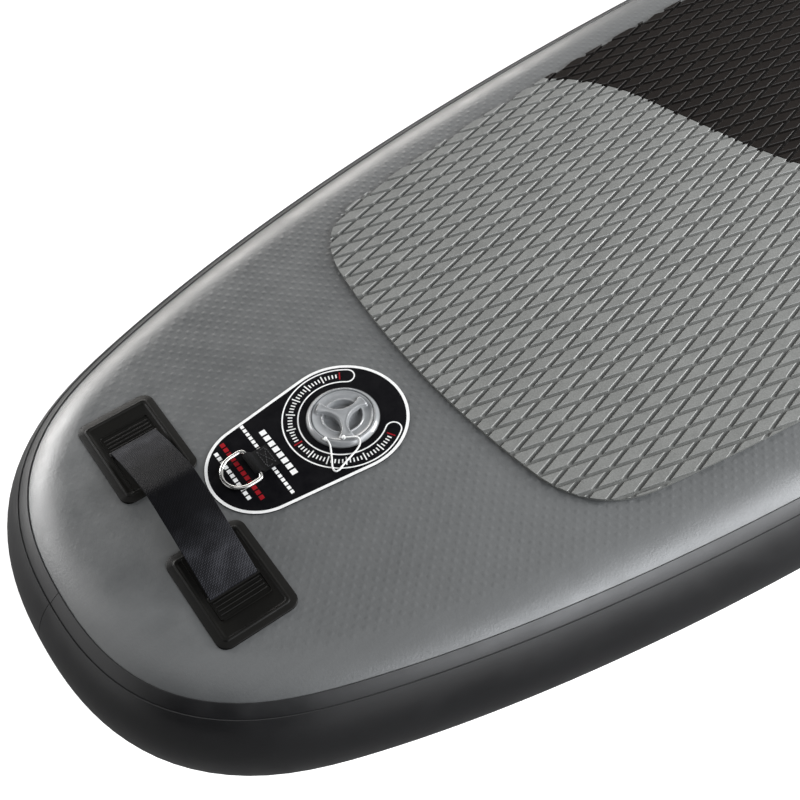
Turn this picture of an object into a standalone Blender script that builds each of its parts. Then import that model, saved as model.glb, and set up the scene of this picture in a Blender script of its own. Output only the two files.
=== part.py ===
# An inflatable stand-up paddle board: drop-stitch hull, deck fittings, air valve and fins.
# Metres. +X runs from the tail to the nose, +Y to port, +Z up. The world's origin lies under the
# middle of the board, level with the tip of the centre fin. Pieces are placed in the board's own
# frame, whose zero is the tail tip on the flat deck's surface.
import math

import bmesh
import bpy
import numpy as np
from mathutils import Matrix, Vector

# Board
BOARD_THICKNESS = 0.150
SKIN = 0.0012
RAIL_STRIP = 0.0010
SEAT_GAP = 0.0003
DECK_EDGE_ANGLE = 56.4
GUARD_EDGE_ANGLE = 46.0
SKIN_EDGE_ANGLE = 46.0
BUTT_SEAM = 0.0006
ROCKER_START = 1.90
NOSE_RISE = 0.19
ROCKER_POWER = 2.0
# Half outline, from the tail tip to the nose tip: distance from the tail, half width.
OUTLINE = (
    (0.000, 0.0000), (0.010, 0.0912), (0.039, 0.1570), (0.100, 0.2178), (0.200, 0.2636),
    (0.400, 0.3180), (0.700, 0.3674), (1.100, 0.3985), (1.600, 0.4080), (2.050, 0.3960),
    (2.450, 0.3560), (2.780, 0.2850), (3.000, 0.2080), (3.130, 0.1340), (3.185, 0.0620),
    (3.200, 0.0000),
)
STATIONS = 30
STATION_EVENNESS = 0.45

# Drop-stitch yarns: each row stands for the thousands that tie the two skins together
YARN_ROWS = (-0.230, -0.090, 0.090, 0.230)
YARN_RADIUS = 0.0010
YARN_STEP = 0.200
YARN_INSET = 0.060
YARN_SLACK = 0.0020

# Traction pad
PAD_THICKNESS = 0.0050
PAD_REAR = 0.434
PAD_FRONT = 2.200
PAD_MARGIN = 0.097
PAD_REAR_BOW = 0.026
PAD_FRONT_BOW = 0.020
PAD_CORNER_LENGTH = 0.096
PAD_CORNER_WIDTH = 0.082
PAD_CORNER_STEPS = 6
PAD_END_STEPS = 7
PAD_JOINT = 0.0008
PAD_SIDE_STEP = 0.085
# Where the grey pad meets the black one: distance from the tail, distance to port.
PAD_COLOUR_LINE = (
    (0.870, 0.254), (0.901, 0.202), (0.920, 0.132), (0.935, 0.073), (0.953, 0.011),
    (0.985, -0.060), (1.045, -0.140), (1.120, -0.215),
)
PAD_COLOUR_PORT = 0.838
PAD_COLOUR_STARBOARD = 1.200

# Valve
VALVE_X = 0.3414
FLANGE_RADIUS = 0.0360
FLANGE_HEIGHT = 0.0056
FLANGE_BEVEL = 0.0036
CAP_RECESS_RADIUS = 0.0312
CAP_RECESS_FLOOR = 0.0022
BARREL_RADIUS = 0.0245
BARREL_LENGTH = 0.0440
BORE_RADIUS = 0.0215
SEAT_RADIUS = 0.0135
SEAT_THICKNESS = 0.0030
GUIDE_RADIUS = 0.0055
GUIDE_HEIGHT = 0.0090
SPOKE_WIDTH = 0.0030
GASKET_INNER = 0.0260
GASKET_OUTER = 0.0310
GASKET_THICKNESS = 0.0012
BARREL_CLEARANCE = 0.0005
NUT_RADIUS = 0.0350
NUT_FLANGE = 0.0035
NUT_HUB_RADIUS = 0.0295
NUT_HEIGHT = 0.0150
ROUND_STEPS = 20

# Valve cap with its three-armed grip
CAP_CLEARANCE = 0.0006
CAP_RIM_HEIGHT = 0.0048
CAP_DISH_DROP = 0.0014
CAP_WELL_RADIUS = 0.0190
CAP_WELL_EDGE = 0.0008
CAP_WELL_TAPER = 0.0012
CAP_WELL_DEPTH = 0.0070
CAP_WALL = 0.0018
CAP_PLUG_RADIUS = 0.0203
CAP_PLUG_DEPTH = 0.0125
SEAL_SECTION = 0.0009
SEAL_DEPTH = 0.0080
GRIP_REACH = 0.0268
GRIP_TIP_CORNER = 0.0020
GRIP_SCOOP_RADIUS = 0.0203
GRIP_SCOOP_CENTRE = 0.0268
GRIP_TOP = 0.0072
GRIP_FIRST_ARM = 125.0

# Valve pin, which is pushed down and turned to hold the valve open
PIN_RADIUS = 0.0030
PIN_BUTTON_RADIUS = 0.0062
PIN_BUTTON_THICKNESS = 0.0030
PIN_RIB = (0.0100, 0.0016, 0.0014)
PIN_TOP_DEPTH = 0.0165
PIN_CLEARANCE = 0.0004
PIN_STEP_RADIUS = 0.0040
PIN_STEP = 0.0006
POPPET_RADIUS = 0.0155
POPPET_THICKNESS = 0.0022
RETAINER_RADIUS = 0.0070
RETAINER_THICKNESS = 0.0035
SPRING_RADIUS = 0.0042
SPRING_WIRE = 0.0005
SPRING_TURNS = 5
SPRING_POINTS_PER_TURN = 8

# Cap string: points from the cap's arm, out over the label and back to the rim, measured from the
# valve's axis, with the height of its middle above the deck.
TETHER_RADIUS = 0.0009
TETHER_ROUTE = (
    (-0.0150, -0.0238, 0.0068), (-0.0118, -0.0262, 0.0072), (-0.0075, -0.0290, 0.0074),
    (-0.0042, -0.0322, 0.0073), (-0.0040, -0.0358, 0.0066), (-0.0064, -0.0388, 0.0046),
    (-0.0115, -0.0410, 0.0029), (-0.0180, -0.0430, 0.0024), (-0.0250, -0.0452, 0.0023),
    (-0.0318, -0.0476, 0.0023), (-0.0372, -0.0496, 0.0023), (-0.0409, -0.0489, 0.0023),
    (-0.0414, -0.0452, 0.0024), (-0.0394, -0.0408, 0.0026), (-0.0366, -0.0362, 0.0030),
    (-0.0338, -0.0312, 0.0034), (-0.0312, -0.0262, 0.0040), (-0.0292, -0.0216, 0.0049),
    (-0.0290, -0.0176, 0.0062), (-0.0299, -0.0148, 0.0066),
)
TETHER_STEPS = 2

# Label plate round the valve and the leash ring
LABEL_THICKNESS = 0.0008
LABEL_REAR_X = 0.2475
LABEL_REAR_RADIUS = 0.0535
LABEL_FRONT_RADIUS = 0.0655
LABEL_CLEARANCE = 0.0008
LABEL_ARC_STEPS = 12

# D-rings and the loops that hold them
RING_WIRE = 0.0022
RING_HALF_WIDTH = 0.0190
RING_REACH = 0.0315
RING_CORNER = 0.0045
RING_ARC_STEPS = 6
LOOP_CLEARANCE = 0.0004
LOOP_WEB = 0.0011
LOOP_HALF_WIDTH = 0.0130
LOOP_LENGTH = 0.0220
LOOP_TAIL_HEIGHT = 0.0030
LEASH_X = 0.2415
LEASH_Y = 0.0035

# Tail and nose carry handles: two moulded plates and a strap
TAIL_HANDLE_X = 0.1628
NOSE_HANDLE_X = 2.850
PLATE_LENGTH = 0.080
PLATE_WIDTH = 0.109
PLATE_INNER_Y = 0.0353
PLATE_THICKNESS = 0.0020
PLATE_CORNER = 0.011
PLATE_BORDER = 0.0065
PLATE_RIB = 0.0030
PLATE_RIB_HEIGHT = 0.0012
PLATE_INNER_CORNER = 0.0040
PLATE_FRAME_HEIGHT = 0.0016
PLATE_FRAME_EDGE = 0.0012
STRAP_WIDTH = 0.0480
STRAP_THICKNESS = 0.0022
STRAP_END_Y = 0.0950
STRAP_RISE = 0.0465
STRAP_SHAPE = 1.35
STRAP_SLOT_CLEARANCE = 0.0004
STRAP_STATIONS = 18

# Centre carry handle, lengthwise in a cut-out of the pad
CENTRE_X = 1.560
CENTRE_CUTOUT = (0.380, 0.120, 0.030)
CENTRE_PATCH = (0.085, 0.080, 0.014)
CENTRE_PATCH_THICKNESS = 0.0020
CENTRE_HALF_SPAN = 0.125
CENTRE_STRAP_WIDTH = 0.038
CENTRE_RISE = 0.034
CENTRE_FLAT = 0.070
GRIP_LENGTH = 0.125
GRIP_WIDTH = 0.048
GRIP_DEPTH = 0.015
GRIP_CORNER = 0.0068
GRIP_SLOT_CLEARANCE = 0.0004

# Bungee: four rings on round patches, and one elastic cord through them
BUNGEE_REAR = (2.330, 0.225)
BUNGEE_FRONT = (2.680, 0.165)
PATCH_RADIUS = 0.038
PATCH_THICKNESS = 0.0012
PATCH_STEPS = 18
BUNGEE_RADIUS = 0.0030
BUNGEE_RING_LIFT = 16.0
BUNGEE_CLEARANCE = 0.0009
BUNGEE_CROSSING = 0.0045
TOW_RING_X = 3.035
TOW_PATCH_RADIUS = 0.034

# Fin box, centre fin and its fastening
BOX_LENGTH = 0.290
BOX_WIDTH = 0.030
BOX_HEIGHT = 0.026
BOX_FOOT = (0.350, 0.110, 0.0030)
BOX_FOOT_CORNER = 0.033
BOX_CORNER = 0.012
BOX_X = 0.3330
SLOT_LENGTH = 0.268
SLOT_WIDTH = 0.0096
SLOT_DEPTH = 0.0215
GROOVE_WIDTH = 0.0166
GROOVE_LOW = 0.0080
GROOVE_HEIGHT = 0.0046
NOTCH_LENGTH = 0.016
FIN_DEPTH = 0.204
FIN_ROOT = (0.215, 0.400)
FIN_SWEEP = 0.235
FIN_SWEEP_POWER = 1.6
FIN_BELLY = 0.022
FIN_TRAILING_SWEEP = 0.070
FIN_ROOT_THICKNESS = 0.0082
FIN_TAPER = 0.62
FIN_SECTIONS = 8
FIN_SIDE_POINTS = 4
FIN_BASE = (0.232, 0.386)
FIN_BASE_HEIGHT = 0.0195
FIN_NECK_THICKNESS = 0.0053
FIN_CLEARANCE = 0.00035
FIN_TAB_END = 0.434
FIN_TAB_HEIGHT = 0.0060
FIN_PIN_X = 0.2440
FIN_PIN_RADIUS = 0.0017
FIN_PIN_LENGTH = 0.0150
SCREW_X = 0.4200
SCREW_RADIUS = 0.0020
SCREW_CLEARANCE = 0.0004
SCREW_LENGTH = 0.0180
SCREW_HEAD_RADIUS = 0.0085
SCREW_HEAD_HEIGHT = 0.0060
SCREW_HEAD_LOBES = 6
SCREW_LOBE_DEPTH = 0.0010
WASHER_RADIUS = 0.0060
WASHER_THICKNESS = 0.0010
NUT_PLATE = (0.0140, 0.0156, 0.0028)

# Side fins, bonded to the hull
SIDE_FIN_Y = 0.200
SIDE_FIN_ROOT = (0.430, 0.545)
SIDE_FIN_DEPTH = 0.090
SIDE_FIN_FOOT = (0.150, 0.046, 0.0030)
SIDE_FIN_FOOT_CORNER = 0.020
SIDE_FIN_SWEEP = 0.115
SIDE_FIN_TRAILING_SWEEP = 0.045
SIDE_FIN_BELLY = 0.010
SIDE_FIN_THICKNESS = 0.0080
SIDE_FIN_CANT = 7.0

RAIL_RADIUS = BOARD_THICKNESS / 2
RAIL_BUILD = 2 * (SEAT_GAP + RAIL_STRIP)
BOARD_LENGTH = OUTLINE[-1][0]
DECK_HEIGHT = BOARD_THICKNESS + BOX_HEIGHT + FIN_DEPTH
SMOOTH_ANGLE = math.radians(35)

# Finishes: colour, roughness, metallic
FINISHES = {
    "grey_pvc": ((0.17, 0.18, 0.18), 0.42, 0.0),
    "black_pvc": ((0.020, 0.020, 0.022), 0.40, 0.0),
    "grey_foam": ((0.16, 0.17, 0.17), 0.80, 0.0),
    "black_foam": ((0.018, 0.017, 0.017), 0.80, 0.0),
    "moulded_black": ((0.022, 0.021, 0.018), 0.55, 0.0),
    "webbing": ((0.016, 0.016, 0.019), 0.75, 0.0),
    "grey_plastic": ((0.36, 0.37, 0.38), 0.35, 0.0),
    "steel": ((0.62, 0.62, 0.60), 0.22, 1.0),
    "brass": ((0.62, 0.45, 0.18), 0.30, 1.0),
    "rubber": ((0.02, 0.02, 0.02), 0.70, 0.0),
    "white_cord": ((0.80, 0.80, 0.80), 0.60, 0.0),
    "yarn": ((0.70, 0.70, 0.68), 0.70, 0.0),
    "black_plastic": ((0.015, 0.015, 0.016), 0.38, 0.0),
}


def clear_scene():
    for obj in list(bpy.data.objects):
        bpy.data.objects.remove(obj, do_unlink=True)


def dress(obj, finish):
    colour, roughness, metallic = FINISHES[finish]
    material = bpy.data.materials.new(obj.name)
    material.use_nodes = True
    shader = material.node_tree.nodes["Principled BSDF"]
    shader.inputs["Base Color"].default_value = (*colour, 1.0)
    shader.inputs["Roughness"].default_value = roughness
    shader.inputs["Metallic"].default_value = metallic
    obj.data.materials.append(material)


def add_mesh(name, bm, finish, parent, at=(0, 0, 0), turn=(0, 0, 0)):
    """Makes a bmesh an object of its own, placed in its parent's frame."""
    bmesh.ops.recalc_face_normals(bm, faces=bm.faces)
    mesh = bpy.data.meshes.new(name)
    bm.to_mesh(mesh)
    bm.free()
    mesh.shade_smooth()
    mesh.set_sharp_from_angle(angle=SMOOTH_ANGLE)
    obj = bpy.data.objects.new(name, mesh)
    bpy.context.collection.objects.link(obj)
    obj.parent = parent
    obj.location = at
    obj.rotation_euler = turn
    dress(obj, finish)
    return obj


def add_empty(name, parent, at, turn=(0, 0, 0)):
    empty = bpy.data.objects.new(name, None)
    bpy.context.collection.objects.link(empty)
    empty.parent = parent
    empty.location = at
    empty.rotation_euler = turn
    return empty


def helper(obj):
    """A cutter or a shape to join: it isn't a piece."""
    obj.hide_render = True
    obj.display_type = "WIRE"
    return obj


def combine(obj, other, operation):
    modifier = obj.modifiers.new(other.name, "BOOLEAN")
    modifier.operation = operation
    modifier.object = helper(other)
    modifier.solver = "EXACT"


# Shapes


def prism(outline, low, high):
    """An upright solid from a flat outline."""
    bm = bmesh.new()
    rings = [[bm.verts.new((x, y, z)) for x, y in outline] for z in (low, high)]
    count = len(outline)
    for i in range(count):
        j = (i + 1) % count
        bm.faces.new((rings[0][i], rings[0][j], rings[1][j], rings[1][i]))
    bm.faces.new(reversed(rings[0]))
    bm.faces.new(rings[1])
    return bm


def box(low, high):
    corners = ((low[0], low[1]), (high[0], low[1]), (high[0], high[1]), (low[0], high[1]))
    return prism(corners, low[2], high[2])


def circle(radius, steps, centre=(0.0, 0.0)):
    turn = 2 * math.pi / steps
    return [
        (centre[0] + radius * math.cos(i * turn), centre[1] + radius * math.sin(i * turn))
        for i in range(steps)
    ]


def arc(centre, radius, start, end, steps):
    """Points on an arc between two angles in degrees, both ends included."""
    points = []
    for i in range(steps + 1):
        angle = math.radians(start + (end - start) * i / steps)
        points.append((centre[0] + radius * math.cos(angle), centre[1] + radius * math.sin(angle)))
    return points


def rounded_rectangle(length, width, radius, centre=(0.0, 0.0), steps=3):
    outline = []
    for sign_x, sign_y, start in ((1, 1, 0), (-1, 1, 90), (-1, -1, 180), (1, -1, 270)):
        corner = (
            centre[0] + sign_x * (length / 2 - radius),
            centre[1] + sign_y * (width / 2 - radius),
        )
        outline += arc(corner, radius, start, start + 90, steps)
    return outline


def turned_rings(bm, profile, steps):
    return [[bm.verts.new((x, y, height)) for x, y in circle(radius, steps)] for radius, height in profile]


def join_rings(bm, first, second):
    for i in range(len(first)):
        j = (i + 1) % len(first)
        bm.faces.new((first[i], first[j], second[j], second[i]))


def ring_solid(profile, steps=ROUND_STEPS):
    """Turns a closed profile of (radius, height) points round the upright axis."""
    bm = bmesh.new()
    rings = turned_rings(bm, profile, steps)
    for first, second in zip(rings, rings[1:] + rings[:1]):
        join_rings(bm, first, second)
    return bm


def washer_profile(inner, outer, low, high):
    return [(inner, low), (outer, low), (outer, high), (inner, high)]


def turned_solid(profile, steps=ROUND_STEPS):
    """Turns a profile that starts and ends in a flat disc across the axis."""
    bm = bmesh.new()
    rings = turned_rings(bm, profile, steps)
    for first, second in zip(rings, rings[1:]):
        join_rings(bm, first, second)
    bm.faces.new(rings[0])
    bm.faces.new(rings[-1])
    return bm


def lofted(loops, closed):
    """Joins equal loops of points into a tube, capped where it isn't closed on itself."""
    bm = bmesh.new()
    made = [[bm.verts.new(point) for point in loop] for loop in loops]
    pairs = list(zip(made, made[1:]))
    if closed:
        pairs.append((made[-1], made[0]))
    for first, second in pairs:
        join_rings(bm, first, second)
    if not closed:
        for loop in (made[0], made[-1]):
            strip_cap(bm, loop)
    return bm


def strip_cap(bm, loop):
    """Closes a C-shaped or straight end, whose points run out along one side and back."""
    half = len(loop) // 2
    for i in range(half - 1):
        bm.faces.new((loop[i], loop[i + 1], loop[-2 - i], loop[-1 - i]))


def ribbon(path, across, thickness, width):
    """A strip of webbing along a path: across is the strip's width direction."""
    across = Vector(across).normalized()
    path = [Vector(point) for point in path]
    loops = []
    for i, point in enumerate(path):
        along = path[min(i + 1, len(path) - 1)] - path[max(i - 1, 0)]
        out = across.cross(along).normalized() * (thickness / 2)
        side = across * (width / 2)
        loops.append([point - side - out, point + side - out, point + side + out, point - side + out])
    return lofted(loops, closed=False)


def add_tube(name, points, radius, finish, parent, closed=False, resolution=2):
    """A round cord or wire through its points."""
    curve = bpy.data.curves.new(name, "CURVE")
    curve.dimensions = "3D"
    curve.bevel_depth = radius
    curve.bevel_resolution = resolution
    curve.use_fill_caps = True
    spline = curve.splines.new("POLY")
    spline.points.add(len(points) - 1)
    for target, point in zip(spline.points, points):
        target.co = (*point, 1.0)
        target.radius = 1.0
    spline.use_cyclic_u = closed
    spline.use_smooth = True
    obj = bpy.data.objects.new(name, curve)
    bpy.context.collection.objects.link(obj)
    obj.parent = parent
    dress(obj, finish)
    return obj


def smooth_path(points, steps, closed=False):
    """A Catmull-Rom curve through the points."""
    points = [Vector(point) for point in points]
    count = len(points)
    path = []
    for i in range(count if closed else count - 1):
        if closed:
            before, start, end, after = (points[(i + k) % count] for k in (-1, 0, 1, 2))
        else:
            before, start = points[max(i - 1, 0)], points[i]
            end, after = points[i + 1], points[min(i + 2, count - 1)]
        for step in range(steps):
            t = step / steps
            path.append(0.5 * (
                2 * start + (end - before) * t
                + (2 * before - 5 * start + 4 * end - after) * t**2
                + (3 * start - before - 3 * end + after) * t**3
            ))
    if not closed:
        path.append(points[-1])
    return path


# The board's outline, rail and rocker


def closed_spline(points):
    """A smooth closed curve through the points, and the chord length at which it meets each."""
    points = np.array(points)
    count = len(points)
    chord = np.linalg.norm(np.roll(points, -1, axis=0) - points, axis=1)
    reached = np.concatenate([[0.0], np.cumsum(chord)])
    system = np.zeros((count, count))
    target = np.zeros((count, 2))
    for i in range(count):
        j = (i + 1) % count
        system[i, i - 1] += chord[i - 1]
        system[i, i] += 2 * (chord[i - 1] + chord[i])
        system[i, j] += chord[i]
        target[i] = 6 * ((points[j] - points[i]) / chord[i] - (points[i] - points[i - 1]) / chord[i - 1])
    bend = np.linalg.solve(system, target)

    def point(length):
        length = length % reached[-1]
        i = min(int(np.searchsorted(reached, length, side="right")) - 1, count - 1)
        j = (i + 1) % count
        before, after, size = length - reached[i], reached[i + 1] - length, chord[i]
        curved = (bend[i] * after**3 + bend[j] * before**3) / (6 * size)
        straight_start = (points[i] / size - bend[i] * size / 6) * after
        straight_end = (points[j] / size - bend[j] * size / 6) * before
        return curved + straight_start + straight_end

    return point, reached


def rocker(x):
    """How far the deck has risen at a distance from the tail."""
    share = max(0.0, (x - ROCKER_START) / (BOARD_LENGTH - ROCKER_START))
    return NOSE_RISE * share**ROCKER_POWER


def outline_stations():
    """Points round the port half of the board: rail centre, outward direction and deck height."""
    starboard = [(x, -y) for x, y in reversed(OUTLINE[1:-1])]
    point, reached = closed_spline(list(OUTLINE) + starboard)
    half_length = reached[len(OUTLINE) - 1]
    nudge = half_length * 1e-4
    stations = []
    for i in range(STATIONS + 1):
        u = i / STATIONS
        eased = (1 - math.cos(math.pi * u)) / 2
        length = half_length * (STATION_EVENNESS * u + (1 - STATION_EVENNESS) * eased)
        along = point(length + nudge) - point(length - nudge)
        along /= np.linalg.norm(along)
        outward = np.array((-along[1], along[0]))
        centre = point(length) - outward * (RAIL_RADIUS + RAIL_BUILD)
        if i in (0, STATIONS):
            outward = np.array((-1.0 if i == 0 else 1.0, 0.0))
            centre[1] = 0.0
        stations.append((centre, outward, rocker(centre[0])))
    return stations


PORT = outline_stations()
STARBOARD = [
    (centre * (1, -1), outward * (1, -1), height) for centre, outward, height in PORT
]
AROUND = PORT + STARBOARD[-2:0:-1]


def deck_z(x):
    """The height of the flat part of the deck, as its facets have it."""
    return float(np.interp(x, [s[0][0] for s in PORT], [s[2] for s in PORT]))


def flat_half_width(x):
    """Half the width of the flat part of the deck."""
    return float(np.interp(x, [s[0][0] for s in PORT], [s[0][1] for s in PORT]))


def rail_point(station, radius, angle):
    centre, outward, height = station
    reach = radius * math.cos(math.radians(angle))
    level = radius * math.sin(math.radians(angle)) - RAIL_RADIUS + height
    return (centre[0] + outward[0] * reach, centre[1] + outward[1] * reach, level)


def rail_section(station, inner, outer, angles):
    out = [rail_point(station, outer, angle) for angle in angles]
    back = [rail_point(station, inner, angle) for angle in reversed(angles)]
    return out + back


BAND_ANGLES = (DECK_EDGE_ANGLE, SKIN_EDGE_ANGLE, 23.0, 0.0, -23.0, -SKIN_EDGE_ANGLE, -DECK_EDGE_ANGLE)
STRIP_ANGLES = (DECK_EDGE_ANGLE, DECK_EDGE_ANGLE / 2, 0.0, -DECK_EDGE_ANGLE / 2, -DECK_EDGE_ANGLE)
GUARD_ANGLES = (GUARD_EDGE_ANGLE, 23.0, 0.0, -23.0, -GUARD_EDGE_ANGLE)
SKIN_ANGLES = (90.0, 74.0, DECK_EDGE_ANGLE, SKIN_EDGE_ANGLE)


def make_skin(name, side, board):
    """The deck skin (side 1) or the hull skin (side -1): flat, rolled over at its edge."""
    bm = bmesh.new()
    surfaces = []
    for radius in (RAIL_RADIUS, RAIL_RADIUS - SKIN):
        rows = [
            [bm.verts.new(rail_point(station, radius, side * angle)) for angle in SKIN_ANGLES]
            for station in AROUND
        ]
        surfaces.append(rows)
        for i, row in enumerate(rows):
            following = rows[(i + 1) % len(rows)]
            for k in range(len(SKIN_ANGLES) - 1):
                bm.faces.new((row[k], row[k + 1], following[k + 1], following[k]))
        for i in range(STATIONS):
            port = (rows[i][0], rows[i + 1][0])
            starboard = (rows[-i - 1 if i < STATIONS - 1 else STATIONS][0], rows[-i][0])
            corners = tuple(dict.fromkeys(port + starboard))
            bm.faces.new(corners)
    outer, inner = surfaces
    for i in range(len(AROUND)):
        j = (i + 1) % len(AROUND)
        bm.faces.new((outer[i][-1], outer[j][-1], inner[j][-1], inner[i][-1]))
    return add_mesh(name, bm, "grey_pvc", board)


def half_around(stations, side):
    """One side's stations, held off the centre line by half a butt seam at the tail and nose."""
    kept = []
    for i, (centre, outward, height) in enumerate(stations):
        if i in (0, STATIONS):
            centre = centre + np.array((0.0, side * BUTT_SEAM / 2))
        kept.append((centre, outward, height))
    return kept


def make_rail(board):
    """Rail strips: one inside the skins, then a band and a guard strip outside, port and starboard."""
    strip_outer = RAIL_RADIUS - SKIN - SEAT_GAP
    loops = [rail_section(s, strip_outer - RAIL_STRIP, strip_outer, STRIP_ANGLES) for s in AROUND]
    add_mesh("inner_rail_strip", lofted(loops, closed=True), "black_pvc", board)
    band_inner = RAIL_RADIUS + SEAT_GAP
    guard_inner = band_inner + RAIL_STRIP + SEAT_GAP
    for side_name, side, stations in (("port", 1, PORT), ("starboard", -1, STARBOARD)):
        run = half_around(stations, side)
        for layer, inner, angles in (
            ("rail_band", band_inner, BAND_ANGLES),
            ("rail_guard_strip", guard_inner, GUARD_ANGLES),
        ):
            loops = [rail_section(s, inner, inner + RAIL_STRIP, angles) for s in run]
            add_mesh(f"{layer}_{side_name}", lofted(loops, closed=False), "black_pvc", board)


def make_yarns(board):
    """Drop-stitch yarn rows: up, along the deck skin, down, along the hull skin."""
    ends = {"starboard_outer": YARN_ROWS[0], "starboard_inner": YARN_ROWS[1]}
    ends.update({"port_inner": YARN_ROWS[2], "port_outer": YARN_ROWS[3]})
    inset = SKIN + SEAT_GAP + YARN_RADIUS
    for name, y in ends.items():
        spots = np.linspace(0.0, BOARD_LENGTH, 641)
        inside = [x for x in spots if flat_half_width(x) > abs(y) + YARN_INSET / 2]
        first, last = inside[0] + YARN_INSET, inside[-1] - YARN_INSET
        legs = 2 * int((last - first) / YARN_STEP / 2)
        path = []
        for leg in range(legs):
            x = first + (last - first) * leg / (legs - 1)
            low = (x, y, deck_z(x) - BOARD_THICKNESS + inset)
            high = (x, y, deck_z(x) - inset - YARN_SLACK)
            path += [low, high] if leg % 2 == 0 else [high, low]
        add_tube(f"drop_stitch_yarn_{name}", path, YARN_RADIUS, "yarn", board, resolution=0)


# Traction pad


def pad_half_width(x):
    rail = [(s[0] + s[1] * (RAIL_RADIUS + RAIL_BUILD - PAD_MARGIN)) for s in PORT]
    return float(np.interp(x, [p[0] for p in rail], [p[1] for p in rail]))


def pad_end_x(end, bow, y):
    """The pad's end edge, which lies further forward by the bow where it would meet the sides."""
    return end + bow * (y / pad_half_width(end)) ** 2


def pad_corner(end, bow, direction):
    """Port corner of the pad, a curve that leaves its end edge and its side in their own directions."""
    side_x = end + direction * PAD_CORNER_LENGTH
    side = Vector((side_x, pad_half_width(side_x)))
    tip_y = side.y - PAD_CORNER_WIDTH
    tip = Vector((pad_end_x(end, bow, tip_y), tip_y))
    step = PAD_CORNER_WIDTH / 10
    side_slope = (pad_half_width(side_x + step) - side.y) / step
    tip_slope = (pad_end_x(end, bow, tip_y + step) - tip.x) / step
    meet_y = side.y + side_slope * (tip.x - side.x - tip_slope * tip.y)
    meet_y /= 1 - side_slope * tip_slope
    meet = Vector((tip.x + tip_slope * (meet_y - tip.y), meet_y))
    points = []
    for i in range(PAD_CORNER_STEPS + 1):
        share = i / PAD_CORNER_STEPS
        points.append(tuple(tip.lerp(meet, share).lerp(meet.lerp(side, share), share)))
    return points


def pad_end(end, bow, start_y):
    """The end edge between its corners, from the one at start_y to the other."""
    places = np.linspace(start_y, -start_y, PAD_END_STEPS + 1)[1:-1]
    return [(pad_end_x(end, bow, y), y) for y in places]


def pad_side(start, end):
    count = max(1, round(abs(end - start) / PAD_SIDE_STEP))
    places = [start + (end - start) * i / count for i in range(count + 1)]
    return [(x, pad_half_width(x)) for x in places]


def fitted_plate(outline, thickness):
    """A plate on the deck that follows its rise: cut across and lifted at every facet line."""
    bm = prism(outline, SEAT_GAP, SEAT_GAP + thickness)
    for station in PORT:
        geometry = bm.verts[:] + bm.edges[:] + bm.faces[:]
        plane = (station[0][0], 0, 0)
        bmesh.ops.bisect_plane(bm, geom=geometry, plane_co=plane, plane_no=(1, 0, 0), dist=1e-6)
    for vert in bm.verts:
        vert.co.z += deck_z(vert.co.x)
    return bm


def make_pad(board):
    rear_corner = pad_corner(PAD_REAR, PAD_REAR_BOW, 1)
    front_corner = pad_corner(PAD_FRONT, -PAD_FRONT_BOW, -1)
    rear_end = pad_end(PAD_REAR, PAD_REAR_BOW, -rear_corner[0][1])
    front_end = pad_end(PAD_FRONT, -PAD_FRONT_BOW, front_corner[0][1])
    colour_line = [Vector((x, y, 0)) for x, y in PAD_COLOUR_LINE]
    port_end = Vector((PAD_COLOUR_PORT, pad_half_width(PAD_COLOUR_PORT), 0))
    starboard_end = Vector((PAD_COLOUR_STARBOARD, -pad_half_width(PAD_COLOUR_STARBOARD), 0))
    line = smooth_path([port_end, *colour_line, starboard_end], 2)
    line = [(point.x, point.y) for point in line]

    port_side = pad_side(rear_corner[-1][0], PAD_COLOUR_PORT)
    starboard_side = [(x, -y) for x, y in pad_side(rear_corner[-1][0], PAD_COLOUR_STARBOARD)]
    outline = [(x, -y) for x, y in reversed(rear_corner)] + rear_end + rear_corner
    outline += port_side[1:-1] + line + list(reversed(starboard_side[1:-1]))
    add_mesh("traction_pad_rear", fitted_plate(outline, PAD_THICKNESS), "grey_foam", board)

    line = [(x + PAD_JOINT, y) for x, y in line]
    port_side = pad_side(line[0][0], front_corner[-1][0])
    starboard_side = [(x, -y) for x, y in pad_side(line[-1][0], front_corner[-1][0])]
    outline = list(reversed(line)) + port_side[1:-1] + list(reversed(front_corner)) + front_end
    outline += [(x, -y) for x, y in front_corner] + list(reversed(starboard_side[1:-1]))
    front = add_mesh("traction_pad_front", fitted_plate(outline, PAD_THICKNESS), "black_foam", board)
    length, width, corner = CENTRE_CUTOUT
    opening = rounded_rectangle(length, width, corner, (CENTRE_X, 0.0))
    cutter = prism(opening, -PAD_THICKNESS, 3 * PAD_THICKNESS)
    combine(front, add_mesh("pad_opening_cutter", cutter, "rubber", board), "DIFFERENCE")


# Valve


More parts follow.
